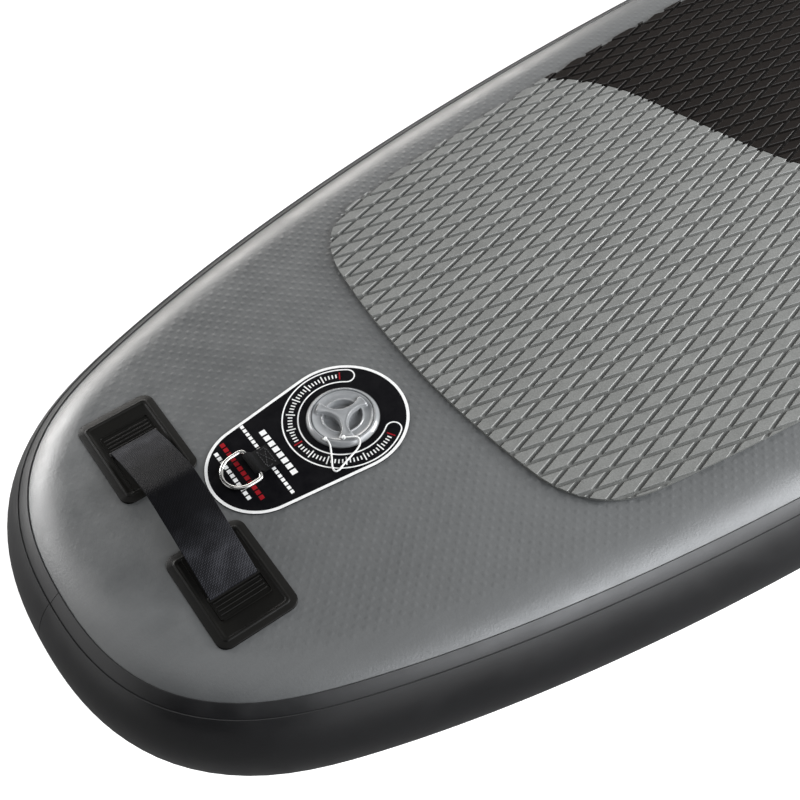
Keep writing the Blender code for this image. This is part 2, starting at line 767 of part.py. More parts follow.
def make_valve_body(board, deck_skin):
    """Flange, barrel, and the seat with its three-spoked pin guide, all one moulding."""
    gasket_roof = SEAT_GAP + GASKET_THICKNESS + SEAT_GAP
    low = -BARREL_LENGTH
    profile = [
        (SEAT_RADIUS, low), (BARREL_RADIUS, low), (BARREL_RADIUS, gasket_roof),
        (GASKET_OUTER + SEAT_GAP, gasket_roof), (GASKET_OUTER + SEAT_GAP, SEAT_GAP),
        (FLANGE_RADIUS, SEAT_GAP), (FLANGE_RADIUS, FLANGE_HEIGHT - FLANGE_BEVEL),
        (FLANGE_RADIUS - FLANGE_BEVEL, FLANGE_HEIGHT), (CAP_RECESS_RADIUS, FLANGE_HEIGHT),
        (CAP_RECESS_RADIUS, CAP_RECESS_FLOOR), (BORE_RADIUS, CAP_RECESS_FLOOR),
        (BORE_RADIUS, low + SEAT_THICKNESS), (SEAT_RADIUS, low + SEAT_THICKNESS),
    ]
    body = add_mesh("valve_body", ring_solid(profile), "grey_plastic", board, at=(VALVE_X, 0, 0))
    guide = ring_solid([
        (PIN_RADIUS + PIN_CLEARANCE, low), (GUIDE_RADIUS, low),
        (GUIDE_RADIUS, low + GUIDE_HEIGHT), (PIN_RADIUS + PIN_CLEARANCE, low + GUIDE_HEIGHT),
    ])
    spokes = add_mesh("valve_guide_shape", guide, "grey_plastic", board, at=(VALVE_X, 0, 0))
    reach = (SEAT_RADIUS + BORE_RADIUS) / 2
    for number in range(3):
        start = (GUIDE_RADIUS + PIN_RADIUS) / 2
        spoke = box(
            (start, -SPOKE_WIDTH / 2, low + SEAT_GAP),
            (reach, SPOKE_WIDTH / 2, low + SEAT_THICKNESS / 2),
        )
        turn = (0, 0, math.radians(120 * number + 60))
        made = add_mesh(f"valve_spoke_shape_{number}", spoke, "grey_plastic", board, (VALVE_X, 0, 0), turn)
        combine(spokes, made, "UNION")
    combine(body, spokes, "UNION")

    hole = prism(circle(BARREL_RADIUS + BARREL_CLEARANCE, ROUND_STEPS), -2 * SKIN, SKIN)
    cutter = add_mesh("valve_hole_cutter", hole, "rubber", board, at=(VALVE_X, 0, 0))
    combine(deck_skin, cutter, "DIFFERENCE")


def make_valve_fittings(board):
    top = SEAT_GAP + GASKET_THICKNESS
    gasket = ring_solid(washer_profile(GASKET_INNER, GASKET_OUTER, SEAT_GAP, top))
    add_mesh("valve_gasket", gasket, "rubber", board, at=(VALVE_X, 0, 0))

    high = -SKIN - SEAT_GAP
    inner = BARREL_RADIUS + SEAT_GAP
    nut = ring_solid([
        (inner, high - NUT_HEIGHT), (NUT_HUB_RADIUS, high - NUT_HEIGHT),
        (NUT_HUB_RADIUS, high - NUT_FLANGE), (NUT_RADIUS, high - NUT_FLANGE),
        (NUT_RADIUS, high), (inner, high),
    ])
    add_mesh("valve_base_nut", nut, "black_plastic", board, at=(VALVE_X, 0, 0))


def grip_outline(reach):
    """Three arms left between three round scoops, as far from the axis as they reach."""

    def angle_between(side, other, opposite):
        return math.degrees(math.acos((side**2 + other**2 - opposite**2) / (2 * side * other)))

    corner = math.degrees(GRIP_TIP_CORNER / reach)
    tip = 60 - angle_between(reach, GRIP_SCOOP_CENTRE, GRIP_SCOOP_RADIUS) - corner
    scoop = angle_between(GRIP_SCOOP_CENTRE, GRIP_SCOOP_RADIUS, reach - GRIP_TIP_CORNER)
    outline = []
    for number in range(3):
        arm = GRIP_FIRST_ARM + 120 * number
        outline += arc((0, 0), reach, arm - tip, arm + tip, 2)
        away = math.radians(arm + 60)
        centre = (GRIP_SCOOP_CENTRE * math.cos(away), GRIP_SCOOP_CENTRE * math.sin(away))
        outline += arc(centre, GRIP_SCOOP_RADIUS, arm + 240 + scoop, arm + 240 - scoop, 6)
    return outline


def make_valve_cap(board):
    """A dished cap with a plug below it and a three-armed grip across its well."""
    rim = CAP_RECESS_RADIUS - CAP_CLEARANCE
    under = CAP_RECESS_FLOOR + SEAT_GAP
    dish = CAP_RIM_HEIGHT - CAP_DISH_DROP
    floor = dish - CAP_WELL_DEPTH
    groove_low = -SEAL_DEPTH - SEAL_SECTION - SEAT_GAP
    groove_high = -SEAL_DEPTH + SEAL_SECTION + SEAT_GAP
    groove = BORE_RADIUS - SEAT_GAP - 2 * SEAL_SECTION - SEAT_GAP
    profile = [
        (groove - CAP_WALL, floor - CAP_WALL), (groove - CAP_WALL, -CAP_PLUG_DEPTH),
        (CAP_PLUG_RADIUS, -CAP_PLUG_DEPTH), (CAP_PLUG_RADIUS, groove_low), (groove, groove_low),
        (groove, groove_high), (CAP_PLUG_RADIUS, groove_high), (CAP_PLUG_RADIUS, under),
        (rim, under), (rim, CAP_RIM_HEIGHT), (rim - CAP_WALL, CAP_RIM_HEIGHT),
        (CAP_WELL_RADIUS + CAP_WELL_EDGE, dish), (CAP_WELL_RADIUS, dish - CAP_WELL_EDGE),
        (CAP_WELL_RADIUS - CAP_WELL_TAPER, floor),
    ]
    cap = add_mesh("valve_cap", turned_solid(profile), "grey_plastic", board, at=(VALVE_X, 0, 0))
    stem = grip_outline(CAP_WELL_RADIUS + CAP_WELL_EDGE / 2)
    for name, outline, low, high in (
        ("arms", grip_outline(GRIP_REACH), under + SEAT_GAP, GRIP_TOP),
        ("stem", stem, floor - CAP_WALL / 2, (dish + GRIP_TOP) / 2),
    ):
        grip = prism(outline, low, high)
        made = add_mesh(f"cap_{name}_shape", grip, "grey_plastic", board, at=(VALVE_X, 0, 0))
        combine(cap, made, "UNION")

    middle = BORE_RADIUS - SEAT_GAP - SEAL_SECTION
    ring = ring_solid([(middle + x, y - SEAL_DEPTH) for x, y in circle(SEAL_SECTION, 6)])
    add_mesh("valve_cap_seal", ring, "rubber", board, at=(VALVE_X, 0, 0))


def make_valve_pin(board):
    """Pin with its button, spring, rubber poppet under the seat, and the disc that holds it."""
    seat_low = -BARREL_LENGTH
    poppet_top = seat_low - SEAT_GAP
    poppet_low = poppet_top - POPPET_THICKNESS
    retainer_top = poppet_low - SEAT_GAP
    retainer_low = retainer_top - RETAINER_THICKNESS
    button_low = -PIN_TOP_DEPTH - PIN_BUTTON_THICKNESS
    pin = turned_solid([
        (PIN_RADIUS, retainer_low), (PIN_RADIUS, button_low - PIN_STEP), (PIN_STEP_RADIUS, button_low),
        (PIN_BUTTON_RADIUS, button_low), (PIN_BUTTON_RADIUS, -PIN_TOP_DEPTH),
    ], 16)
    made = add_mesh("valve_pin", pin, "grey_plastic", board, at=(VALVE_X, 0, 0))
    length, width, height = PIN_RIB
    rib = box(
        (-length / 2, -width / 2, -PIN_TOP_DEPTH - height),
        (length / 2, width / 2, -PIN_TOP_DEPTH + height),
    )
    combine(made, add_mesh("pin_rib_shape", rib, "grey_plastic", board, at=(VALVE_X, 0, 0)), "UNION")

    inner = PIN_RADIUS + PIN_CLEARANCE
    poppet = ring_solid(washer_profile(inner, POPPET_RADIUS, poppet_low, poppet_top))
    add_mesh("valve_poppet", poppet, "rubber", board, at=(VALVE_X, 0, 0))
    retainer = ring_solid(washer_profile(inner, RETAINER_RADIUS, retainer_low, retainer_top), 12)
    add_mesh("valve_poppet_nut", retainer, "grey_plastic", board, at=(VALVE_X, 0, 0))

    low = seat_low + GUIDE_HEIGHT + SEAT_GAP + SPRING_WIRE
    high = button_low - PIN_STEP - SEAT_GAP - SPRING_WIRE
    count = SPRING_TURNS * SPRING_POINTS_PER_TURN
    coil = []
    for i in range(count + 1):
        angle = 2 * math.pi * i / SPRING_POINTS_PER_TURN
        height = low + (high - low) * i / count
        x = VALVE_X + SPRING_RADIUS * math.cos(angle)
        coil.append((x, SPRING_RADIUS * math.sin(angle), height))
    add_tube("valve_spring", coil, SPRING_WIRE, "steel", board, resolution=0)


def make_tether(board):
    route = [(VALVE_X + x, y, z) for x, y, z in TETHER_ROUTE]
    add_tube("cap_tether", smooth_path(route, TETHER_STEPS), TETHER_RADIUS, "white_cord", board)


def make_label(board):
    """A tapered plate with round ends, glued to the deck round the valve."""
    lean = math.degrees(math.asin((LABEL_FRONT_RADIUS - LABEL_REAR_RADIUS) / (VALVE_X - LABEL_REAR_X)))
    front = arc((VALVE_X, 0), LABEL_FRONT_RADIUS, -90 - lean, 90 + lean, LABEL_ARC_STEPS)
    rear = arc((LABEL_REAR_X, 0), LABEL_REAR_RADIUS, 90 + lean, 270 - lean, LABEL_ARC_STEPS)
    plate = prism(front + rear, SEAT_GAP, SEAT_GAP + LABEL_THICKNESS)
    label = add_mesh("label_plate", plate, "black_plastic", board)
    opening = circle(FLANGE_RADIUS + LABEL_CLEARANCE, ROUND_STEPS)
    hole = prism(opening, -LABEL_THICKNESS, 3 * LABEL_THICKNESS)
    combine(label, add_mesh("label_hole_cutter", hole, "rubber", board, at=(VALVE_X, 0, 0)), "DIFFERENCE")


# D-rings and their loops


BAR_HEIGHT = SEAT_GAP + LOOP_WEB + LOOP_CLEARANCE + RING_WIRE
LOOP_RADIUS = RING_WIRE + LOOP_CLEARANCE + LOOP_WEB


def ring_path(tilt):
    """A D lying towards -X from its bar, turned up by a tilt in degrees."""
    arc_radius = RING_HALF_WIDTH
    arc_x = RING_REACH - arc_radius
    flat = arc((0 + RING_CORNER, RING_HALF_WIDTH - RING_CORNER), RING_CORNER, 180, 90, 2)
    flat += arc((arc_x, 0), arc_radius, 90, -90, RING_ARC_STEPS)
    flat += arc((0 + RING_CORNER, -RING_HALF_WIDTH + RING_CORNER), RING_CORNER, -90, -180, 2)
    lean = math.radians(tilt)
    return [(-x * math.cos(lean), y, x * math.sin(lean)) for x, y in flat]


def add_ring(name, seat, tilt, at=(0, 0, BAR_HEIGHT)):
    holder = add_empty(f"{name}_axis", seat, at)
    add_tube(name, ring_path(tilt), RING_WIRE, "steel", holder, closed=True, resolution=1)


def add_loop(name, seat):
    """A folded tape that holds the ring's bar and is stuck down ahead of it."""
    low, tail = -LOOP_RADIUS, LOOP_TAIL_HEIGHT - BAR_HEIGHT
    outline = arc((0, 0), LOOP_RADIUS, 60, 270, 8)
    outline += [(LOOP_LENGTH, low), (LOOP_LENGTH, tail), (2 * LOOP_RADIUS, tail)]
    bm = prism(outline, -LOOP_HALF_WIDTH, LOOP_HALF_WIDTH)
    upright = (math.radians(90), 0, 0)
    loop = add_mesh(name, bm, "webbing", seat, (0, 0, BAR_HEIGHT), upright)
    bore = prism(circle(RING_WIRE + LOOP_CLEARANCE, 12), -2 * LOOP_HALF_WIDTH, 2 * LOOP_HALF_WIDTH)
    cutter = add_mesh(f"{name}_cutter", bore, "rubber", seat, (0, 0, BAR_HEIGHT), upright)
    combine(loop, cutter, "DIFFERENCE")


def rest_tilt():
    """The angle at which a ring's arc lies on the surface its loop is stuck to."""
    return -math.degrees(math.asin((BAR_HEIGHT - RING_WIRE - SEAT_GAP) / RING_REACH))


def seat_on_deck(name, board, x, y, half_length, yaw, height):
    """A frame on the deck at a spot, level with the deck over a short length."""
    rear, front = deck_z(x - half_length), deck_z(x + half_length)
    pitch = math.atan2(front - rear, 2 * half_length)
    turn = Matrix.Rotation(-pitch, 4, "Y") @ Matrix.Rotation(yaw, 4, "Z")
    lift = Matrix.Rotation(-pitch, 4, "Y") @ Vector((0, 0, height))
    spot = Vector((x, y, (rear + front) / 2)) + lift
    return add_empty(name, board, spot, turn.to_euler())


def make_leash_ring(board):
    height = SEAT_GAP + LABEL_THICKNESS
    seat = add_empty("leash_ring_seat", board, (LEASH_X, LEASH_Y, height))
    add_loop("leash_ring_loop", seat)
    add_ring("leash_ring", seat, rest_tilt())


def add_patch(name, seat, radius):
    patch = prism(circle(radius, PATCH_STEPS), SEAT_GAP, SEAT_GAP + PATCH_THICKNESS)
    add_mesh(name, patch, "black_pvc", seat)


def make_tow_ring(board):
    seat = seat_on_deck("tow_ring_seat", board, TOW_RING_X, 0.0, TOW_PATCH_RADIUS, 0.0, 0.0)
    add_patch("tow_ring_patch", seat, TOW_PATCH_RADIUS)
    raised = add_empty("tow_ring_raised", seat, (0, 0, SEAT_GAP + PATCH_THICKNESS))
    add_loop("tow_ring_loop", raised)
    add_ring("tow_ring", raised, rest_tilt())


def make_bungee(board):
    """One elastic cord through four rings: over each ring's arc on a diagonal, under it across."""
    corners = {
        "rear_port": (BUNGEE_REAR[0], BUNGEE_REAR[1]),
        "front_starboard": (BUNGEE_FRONT[0], -BUNGEE_FRONT[1]),
        "front_port": (BUNGEE_FRONT[0], BUNGEE_FRONT[1]),
        "rear_starboard": (BUNGEE_REAR[0], -BUNGEE_REAR[1]),
    }
    diagonal = dict(zip(corners, ("front_starboard", "rear_port", "rear_starboard", "front_port")))
    wrap = RING_WIRE + BUNGEE_RADIUS + BUNGEE_CLEARANCE
    lift = math.radians(BUNGEE_RING_LIFT)
    turns = {}
    for name, (x, y) in corners.items():
        pull = (Vector(corners[diagonal[name]]) - Vector((x, y))).normalized()
        pull += Vector((0.0, -math.copysign(1.0, y)))
        yaw = math.atan2(-pull.y, -pull.x)
        seat = seat_on_deck(f"bungee_seat_{name}", board, x, y, PATCH_RADIUS, yaw, 0.0)
        add_patch(f"bungee_patch_{name}", seat, PATCH_RADIUS)
        raised = add_empty(f"bungee_raised_{name}", seat, (0, 0, SEAT_GAP + PATCH_THICKNESS))
        add_loop(f"bungee_ring_loop_{name}", raised)
        add_ring(f"bungee_ring_{name}", raised, BUNGEE_RING_LIFT)
        bpy.context.view_layer.update()
        frame = board.matrix_world.inverted() @ raised.matrix_world
        arc_x, arc_z = -RING_REACH * math.cos(lift), BAR_HEIGHT + RING_REACH * math.sin(lift)
        turns[name] = [
            frame @ Vector((arc_x + a, 0, arc_z + b))
            for a, b in arc((0, 0), wrap, -90, 90, 4)
        ]
    path = []
    for first, second, bow in (
        ("rear_port", "front_starboard", BUNGEE_CROSSING),
        ("front_port", "rear_starboard", -BUNGEE_CROSSING),
    ):
        start, end = turns[first], list(reversed(turns[second]))
        path += start
        for share in (0.25, 0.5, 0.75):
            point = start[-1].lerp(end[0], share)
            point.z += bow * math.sin(math.pi * share) ** 2
            path.append(point)
        path += end
        across = {"front_starboard": "front_port", "rear_starboard": "rear_port"}[second]
        path.append(end[-1].lerp(turns[across][0], 0.5))
    add_tube("bungee_cord", smooth_path(path, 2, closed=True), BUNGEE_RADIUS, "rubber", board, closed=True)


# Carry handles


def strap_path():
    """From one slot up, over in an arch and down into the other slot, seen along the board."""
    low = SEAT_GAP + STRAP_THICKNESS / 4
    start = PLATE_THICKNESS + PLATE_FRAME_HEIGHT + STRAP_THICKNESS / 2
    path = [(0, STRAP_END_Y, low)]
    for i in range(STRAP_STATIONS + 1):
        y = STRAP_END_Y * math.cos(math.pi * i / STRAP_STATIONS)
        rise = 1 - abs(y / STRAP_END_Y) ** STRAP_SHAPE
        path.append((0, y, start + STRAP_RISE * rise))
    path.append((0, -STRAP_END_Y, low))
    return path


def make_handle_plate(name, seat, side):
    """A moulded plate: border, raised rib, and a raised frame round the strap's slot."""
    centre = (0, side * (PLATE_INNER_Y + PLATE_WIDTH / 2))
    rib_top = PLATE_THICKNESS + PLATE_RIB_HEIGHT
    steps = (
        (0.0, SEAT_GAP), (0.0, PLATE_THICKNESS), (PLATE_BORDER, PLATE_THICKNESS),
        (PLATE_FRAME_EDGE, rib_top), (PLATE_RIB, rib_top), (PLATE_FRAME_EDGE, PLATE_THICKNESS),
    )
    bm = bmesh.new()
    rings = []
    inset = 0.0
    for step, height in steps:
        inset += step
        corner = max(PLATE_CORNER - inset, PLATE_INNER_CORNER)
        outline = rounded_rectangle(PLATE_LENGTH - 2 * inset, PLATE_WIDTH - 2 * inset, corner, centre)
        rings.append([bm.verts.new((x, y, height)) for x, y in outline])
    for first, second in zip(rings, rings[1:]):
        join_rings(bm, first, second)
    bm.faces.new(rings[0])
    bm.faces.new(rings[-1])
    plate = add_mesh(name, bm, "moulded_black", seat)
    half_x = STRAP_WIDTH / 2 + STRAP_SLOT_CLEARANCE
    half_y = STRAP_THICKNESS / 2 + STRAP_SLOT_CLEARANCE
    y = side * STRAP_END_Y
    edge = PLATE_FRAME_EDGE + PLATE_RIB
    frame = box((-half_x - edge, y - half_y - edge, PLATE_THICKNESS / 2),
                (half_x + edge, y + half_y + edge, PLATE_THICKNESS + PLATE_FRAME_HEIGHT))
    combine(plate, add_mesh(f"{name}_frame_shape", frame, "moulded_black", seat), "UNION")
    slot = box((-half_x, y - half_y, -PLATE_THICKNESS), (half_x, y + half_y, 4 * PLATE_THICKNESS))
    combine(plate, add_mesh(f"{name}_slot_cutter", slot, "rubber", seat), "DIFFERENCE")


def make_end_handle(name, board, x):
    seat = seat_on_deck(f"{name}_seat", board, x, 0.0, PLATE_LENGTH / 2, 0.0, 0.0)
    make_handle_plate(f"{name}_plate_port", seat, 1)
    make_handle_plate(f"{name}_plate_starboard", seat, -1)
    strap = ribbon(strap_path(), (1, 0, 0), STRAP_THICKNESS, STRAP_WIDTH)
    add_mesh(f"{name}_strap", strap, "webbing", seat)


def make_centre_handle(board):
    """Two patches with a strap between them and a padded sleeve on the strap's level part."""
    length, width, corner = CENTRE_PATCH
    top = SEAT_GAP + CENTRE_PATCH_THICKNESS
    half_x = STRAP_THICKNESS / 2 + STRAP_SLOT_CLEARANCE
    half_y = CENTRE_STRAP_WIDTH / 2 + STRAP_SLOT_CLEARANCE
    for name, side in (("rear", -1), ("front", 1)):
        outline = rounded_rectangle(length, width, corner, (CENTRE_X + side * CENTRE_HALF_SPAN, 0))
        plate = prism(outline, SEAT_GAP, top)
        patch = add_mesh(f"centre_handle_patch_{name}", plate, "moulded_black", board)
        x = CENTRE_X + side * CENTRE_HALF_SPAN
        slot = box((x - half_x, -half_y, -top), (x + half_x, half_y, 2 * top))
        combine(patch, add_mesh(f"centre_slot_cutter_{name}", slot, "rubber", board), "DIFFERENCE")

    low = SEAT_GAP + STRAP_THICKNESS / 4
    level = top + CENTRE_RISE
    path = [(-CENTRE_HALF_SPAN, low), (-CENTRE_HALF_SPAN, top + STRAP_THICKNESS)]
    for i in range(1, 5):
        turn = math.pi * i / 5
        x = -CENTRE_HALF_SPAN + (CENTRE_HALF_SPAN - CENTRE_FLAT) * i / 5
        path.append((x, top + STRAP_THICKNESS + (CENTRE_RISE - STRAP_THICKNESS) * (1 - math.cos(turn)) / 2))
    path.append((-CENTRE_FLAT, level))
    path += [(-x, z) for x, z in reversed(path)]
    path = [(CENTRE_X + x, 0, z) for x, z in path]
    strap = ribbon(path, (0, 1, 0), STRAP_THICKNESS, CENTRE_STRAP_WIDTH)
    add_mesh("centre_handle_strap", strap, "webbing", board)

    outline = rounded_rectangle(GRIP_WIDTH, GRIP_DEPTH, GRIP_CORNER)
    turn = (math.radians(90), 0, math.radians(90))
    sleeve = prism(outline, -GRIP_LENGTH / 2, GRIP_LENGTH / 2)
    grip = add_mesh("centre_handle_grip", sleeve, "rubber", board, (CENTRE_X, 0, level), turn)
    half_width = CENTRE_STRAP_WIDTH / 2 + GRIP_SLOT_CLEARANCE
    half_depth = STRAP_THICKNESS / 2 + GRIP_SLOT_CLEARANCE
    slot = box((-half_width, -half_depth, -GRIP_LENGTH), (half_width, half_depth, GRIP_LENGTH))
    cutter = add_mesh("grip_slot_cutter", slot, "rubber", board, (CENTRE_X, 0, level), turn)
    combine(grip, cutter, "DIFFERENCE")


# Fins


HULL_Z = -BOARD_THICKNESS
BOX_LOW = HULL_Z - SEAT_GAP - BOX_HEIGHT


def make_fin_box(board):
    """A foot glued to the hull and a channel with side grooves for the pin and the nut plate."""
    length, width, thickness = BOX_FOOT
    top = HULL_Z - SEAT_GAP
    foot = prism(rounded_rectangle(length, width, BOX_FOOT_CORNER, (BOX_X, 0)), top - thickness, top)
    fin_box = add_mesh("fin_box", foot, "black_plastic", board)
    body_outline = rounded_rectangle(BOX_LENGTH, BOX_WIDTH, BOX_CORNER, (BOX_X, 0))
    body = prism(body_outline, BOX_LOW, top - thickness / 2)
    combine(fin_box, add_mesh("fin_box_body_shape", body, "black_plastic", board), "UNION")
    half = SLOT_LENGTH / 2
    below = BOX_LOW - BOX_HEIGHT
    groove = BOX_LOW + GROOVE_LOW
    cuts = {
        "slot": (half, SLOT_WIDTH / 2, below, BOX_LOW + SLOT_DEPTH),
        "groove": (half, GROOVE_WIDTH / 2, groove, groove + GROOVE_HEIGHT),
        "notch": (NOTCH_LENGTH / 2, GROOVE_WIDTH / 2, below, groove + GROOVE_HEIGHT / 2),
    }
    for name, (half_x, half_y, low, high) in cuts.items():
        cutter = box((BOX_X - half_x, -half_y, low), (BOX_X + half_x, half_y, high))
        combine(fin_box, add_mesh(f"fin_{name}_cutter", cutter, "rubber", board), "DIFFERENCE")


def fin_section(rear, front, thickness, z):
    """A thin lens, pointed at both ends: a loop of points round it."""
    loop = [(front, 0.0, z)]
    spots = [(1 - math.cos(math.pi * k / (FIN_SIDE_POINTS + 1))) / 2 for k in range(1, FIN_SIDE_POINTS + 1)]
    for share in spots:
        half = thickness / 2 * math.sqrt(math.sin(math.pi * share))
        loop.append((front + (rear - front) * share, half, z))
    loop.append((rear, 0.0, z))
    for share in reversed(spots):
        half = thickness / 2 * math.sqrt(math.sin(math.pi * share))
        loop.append((front + (rear - front) * share, -half, z))
    return loop


def fin_blade(root, depth, sweep, trailing_sweep, belly, thickness, top, overlap):
    """A raked blade, from a little above its root line down to its tip."""
    rear, front = root
    loops = [fin_section(rear, front, thickness, top + overlap)]
    for i in range(FIN_SECTIONS + 1):
        share = i / FIN_SECTIONS
        nose = front - sweep * share**FIN_SWEEP_POWER
        tail = rear + belly * math.sin(math.pi * share) - trailing_sweep * share**2
        loops.append(fin_section(tail, nose, thickness * (1 - FIN_TAPER * share), top - depth * share))
    bm = bmesh.new()
    made = [[bm.verts.new(point) for point in loop] for loop in loops]
    for first, second in zip(made, made[1:]):
        join_rings(bm, first, second)
    for loop in (made[0], made[-1]):
        bm.faces.new(loop)
    return bm


def make_centre_fin(board):
    """Blade, base block in the channel, front tab for the screw, and the pin through the base."""
    half = SLOT_WIDTH / 2 - FIN_CLEARANCE
    base_top = BOX_LOW + FIN_BASE_HEIGHT
    base = box((FIN_BASE[0], -half, BOX_LOW), (FIN_BASE[1], half, base_top))
    fin = add_mesh("centre_fin", base, "black_plastic", board)
    tab = box((FIN_BASE[1] - FIN_TAB_HEIGHT, -half, BOX_LOW), (FIN_TAB_END, half, BOX_LOW + FIN_TAB_HEIGHT))
    combine(fin, add_mesh("fin_tab_shape", tab, "black_plastic", board), "UNION")
    root_z = BOX_LOW - SEAT_GAP
    blade = fin_blade(
        FIN_ROOT, FIN_DEPTH - 2 * SEAT_GAP, FIN_SWEEP, FIN_TRAILING_SWEEP, FIN_BELLY,
        FIN_ROOT_THICKNESS, root_z, 0.0,
    )
    neck = box(
        (FIN_BASE[0] + SEAT_GAP, -FIN_NECK_THICKNESS / 2, root_z - FIN_TAB_HEIGHT),
        (FIN_BASE[1] - SEAT_GAP, FIN_NECK_THICKNESS / 2, BOX_LOW + FIN_TAB_HEIGHT / 2),
    )
    combine(fin, add_mesh("fin_neck_shape", neck, "black_plastic", board), "UNION")
    combine(fin, add_mesh("fin_blade_shape", blade, "black_plastic", board), "UNION")

    pin_z = BOX_LOW + GROOVE_LOW + GROOVE_HEIGHT / 2
    upright = (math.radians(90), 0, 0)
    hole = prism(circle(FIN_PIN_RADIUS + SEAT_GAP, 12), -BOX_WIDTH, BOX_WIDTH)
    cutter = add_mesh("fin_pin_cutter", hole, "rubber", board, (FIN_PIN_X, 0, pin_z), upright)
    combine(fin, cutter, "DIFFERENCE")
    pin = prism(circle(FIN_PIN_RADIUS, 12), -FIN_PIN_LENGTH / 2, FIN_PIN_LENGTH / 2)
    add_mesh("fin_roller_pin", pin, "brass", board, (FIN_PIN_X, 0, pin_z), upright)

    bore = prism(circle(SCREW_RADIUS + SCREW_CLEARANCE, 12), -BOX_HEIGHT, BOX_HEIGHT)
    at = (SCREW_X, 0, BOX_LOW)
    combine(fin, add_mesh("fin_screw_cutter", bore, "rubber", board, at), "DIFFERENCE")


def make_fin_fastening(board):
    """Nut plate in the groove, washer under the tab, and a lobed thumb screw through both."""
    at = (SCREW_X, 0, BOX_LOW)
    length, width, thickness = NUT_PLATE
    low = GROOVE_LOW + SEAT_GAP
    plate = prism(rounded_rectangle(length, width, thickness, steps=1), low, low + thickness)
    nut = add_mesh("fin_nut_plate", plate, "brass", board, at)
    bore = prism(circle(SCREW_RADIUS + SEAT_GAP, 12), 0, BOX_HEIGHT)
    combine(nut, add_mesh("nut_plate_cutter", bore, "rubber", board, at), "DIFFERENCE")

    high = -SEAT_GAP
    inner = SCREW_RADIUS + SCREW_CLEARANCE
    washer = ring_solid(washer_profile(inner, WASHER_RADIUS, high - WASHER_THICKNESS, high), 16)
    add_mesh("fin_washer", washer, "steel", board, at)

    head_top = high - WASHER_THICKNESS - SEAT_GAP
    steps = SCREW_HEAD_LOBES * 4
    outline = []
    for i in range(steps):
        angle = 2 * math.pi * i / steps
        radius = SCREW_HEAD_RADIUS - SCREW_LOBE_DEPTH * (1 - math.cos(SCREW_HEAD_LOBES * angle)) / 2
        outline.append((radius * math.cos(angle), radius * math.sin(angle)))
    knob = prism(outline, head_top - SCREW_HEAD_HEIGHT, head_top)
    head = add_mesh("fin_screw", knob, "black_plastic", board, at)
    shank = prism(circle(SCREW_RADIUS, 12), head_top - SCREW_HEAD_HEIGHT / 2, head_top + SCREW_LENGTH)
    combine(head, add_mesh("fin_screw_shank_shape", shank, "steel", board, at), "UNION")


def make_side_fins(board):
    length, width, thickness = SIDE_FIN_FOOT
    middle = sum(SIDE_FIN_ROOT) / 2
    for name, side in (("port", 1), ("starboard", -1)):
        top = -SEAT_GAP
        foot = prism(rounded_rectangle(length, width, SIDE_FIN_FOOT_CORNER), top - thickness, top)
        at = (middle, side * SIDE_FIN_Y, HULL_Z)
        fin = add_mesh(f"side_fin_{name}", foot, "black_plastic", board, at)
        root = (SIDE_FIN_ROOT[0] - middle, SIDE_FIN_ROOT[1] - middle)
        blade = fin_blade(
            root, SIDE_FIN_DEPTH, SIDE_FIN_SWEEP, SIDE_FIN_TRAILING_SWEEP, SIDE_FIN_BELLY,
            SIDE_FIN_THICKNESS, top - thickness, thickness / 2,
        )
        turn = (math.radians(side * SIDE_FIN_CANT), 0, 0)
        combine(fin, add_mesh(f"side_fin_blade_{name}", blade, "black_plastic", board, at, turn), "UNION")


def main():
    clear_scene()
    board = add_empty("tail_tip_on_deck", None, (-BOARD_LENGTH / 2, 0, DECK_HEIGHT))
    deck_skin = make_skin("deck_skin", 1, board)
    make_skin("hull_skin", -1, board)
    make_rail(board)
    make_yarns(board)
    make_pad(board)
    make_valve_body(board, deck_skin)
    make_valve_fittings(board)
    make_valve_cap(board)
    make_valve_pin(board)
    make_tether(board)
    make_label(board)
    make_leash_ring(board)
    make_tow_ring(board)
    make_bungee(board)
    make_end_handle("tail_handle", board, TAIL_HANDLE_X)
    make_end_handle("nose_handle", board, NOSE_HANDLE_X)
    make_centre_handle(board)
    make_fin_box(board)
    make_centre_fin(board)
    make_fin_fastening(board)
    make_side_fins(board)


main()
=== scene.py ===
import math

import bmesh
import bpy
import numpy as np
from mathutils import Matrix, Vector


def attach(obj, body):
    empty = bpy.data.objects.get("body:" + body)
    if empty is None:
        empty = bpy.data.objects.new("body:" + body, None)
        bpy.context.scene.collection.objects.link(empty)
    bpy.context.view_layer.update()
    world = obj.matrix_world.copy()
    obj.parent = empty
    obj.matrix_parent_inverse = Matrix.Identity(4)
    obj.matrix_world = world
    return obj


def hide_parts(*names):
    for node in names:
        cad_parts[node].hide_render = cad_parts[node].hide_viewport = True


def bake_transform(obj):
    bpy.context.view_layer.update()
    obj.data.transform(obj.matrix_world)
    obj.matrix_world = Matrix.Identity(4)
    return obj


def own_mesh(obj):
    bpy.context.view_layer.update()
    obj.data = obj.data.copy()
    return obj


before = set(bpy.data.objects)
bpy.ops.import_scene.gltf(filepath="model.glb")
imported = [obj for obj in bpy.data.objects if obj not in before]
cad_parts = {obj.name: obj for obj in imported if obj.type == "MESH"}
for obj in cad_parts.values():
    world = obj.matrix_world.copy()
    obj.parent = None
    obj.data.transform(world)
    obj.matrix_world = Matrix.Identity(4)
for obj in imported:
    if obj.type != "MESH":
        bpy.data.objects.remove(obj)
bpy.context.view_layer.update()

# Looks of an inflatable stand-up paddle board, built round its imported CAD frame. Shapes are worked
# out in the board's own frame, as in the part's source: metres, x forward from the tail tip, y to
# port, z up from the flat deck's surface. BOARD_ORIGIN takes them to the world.
BOARD_ORIGIN = Vector((-1.6, 0.0, 0.380))

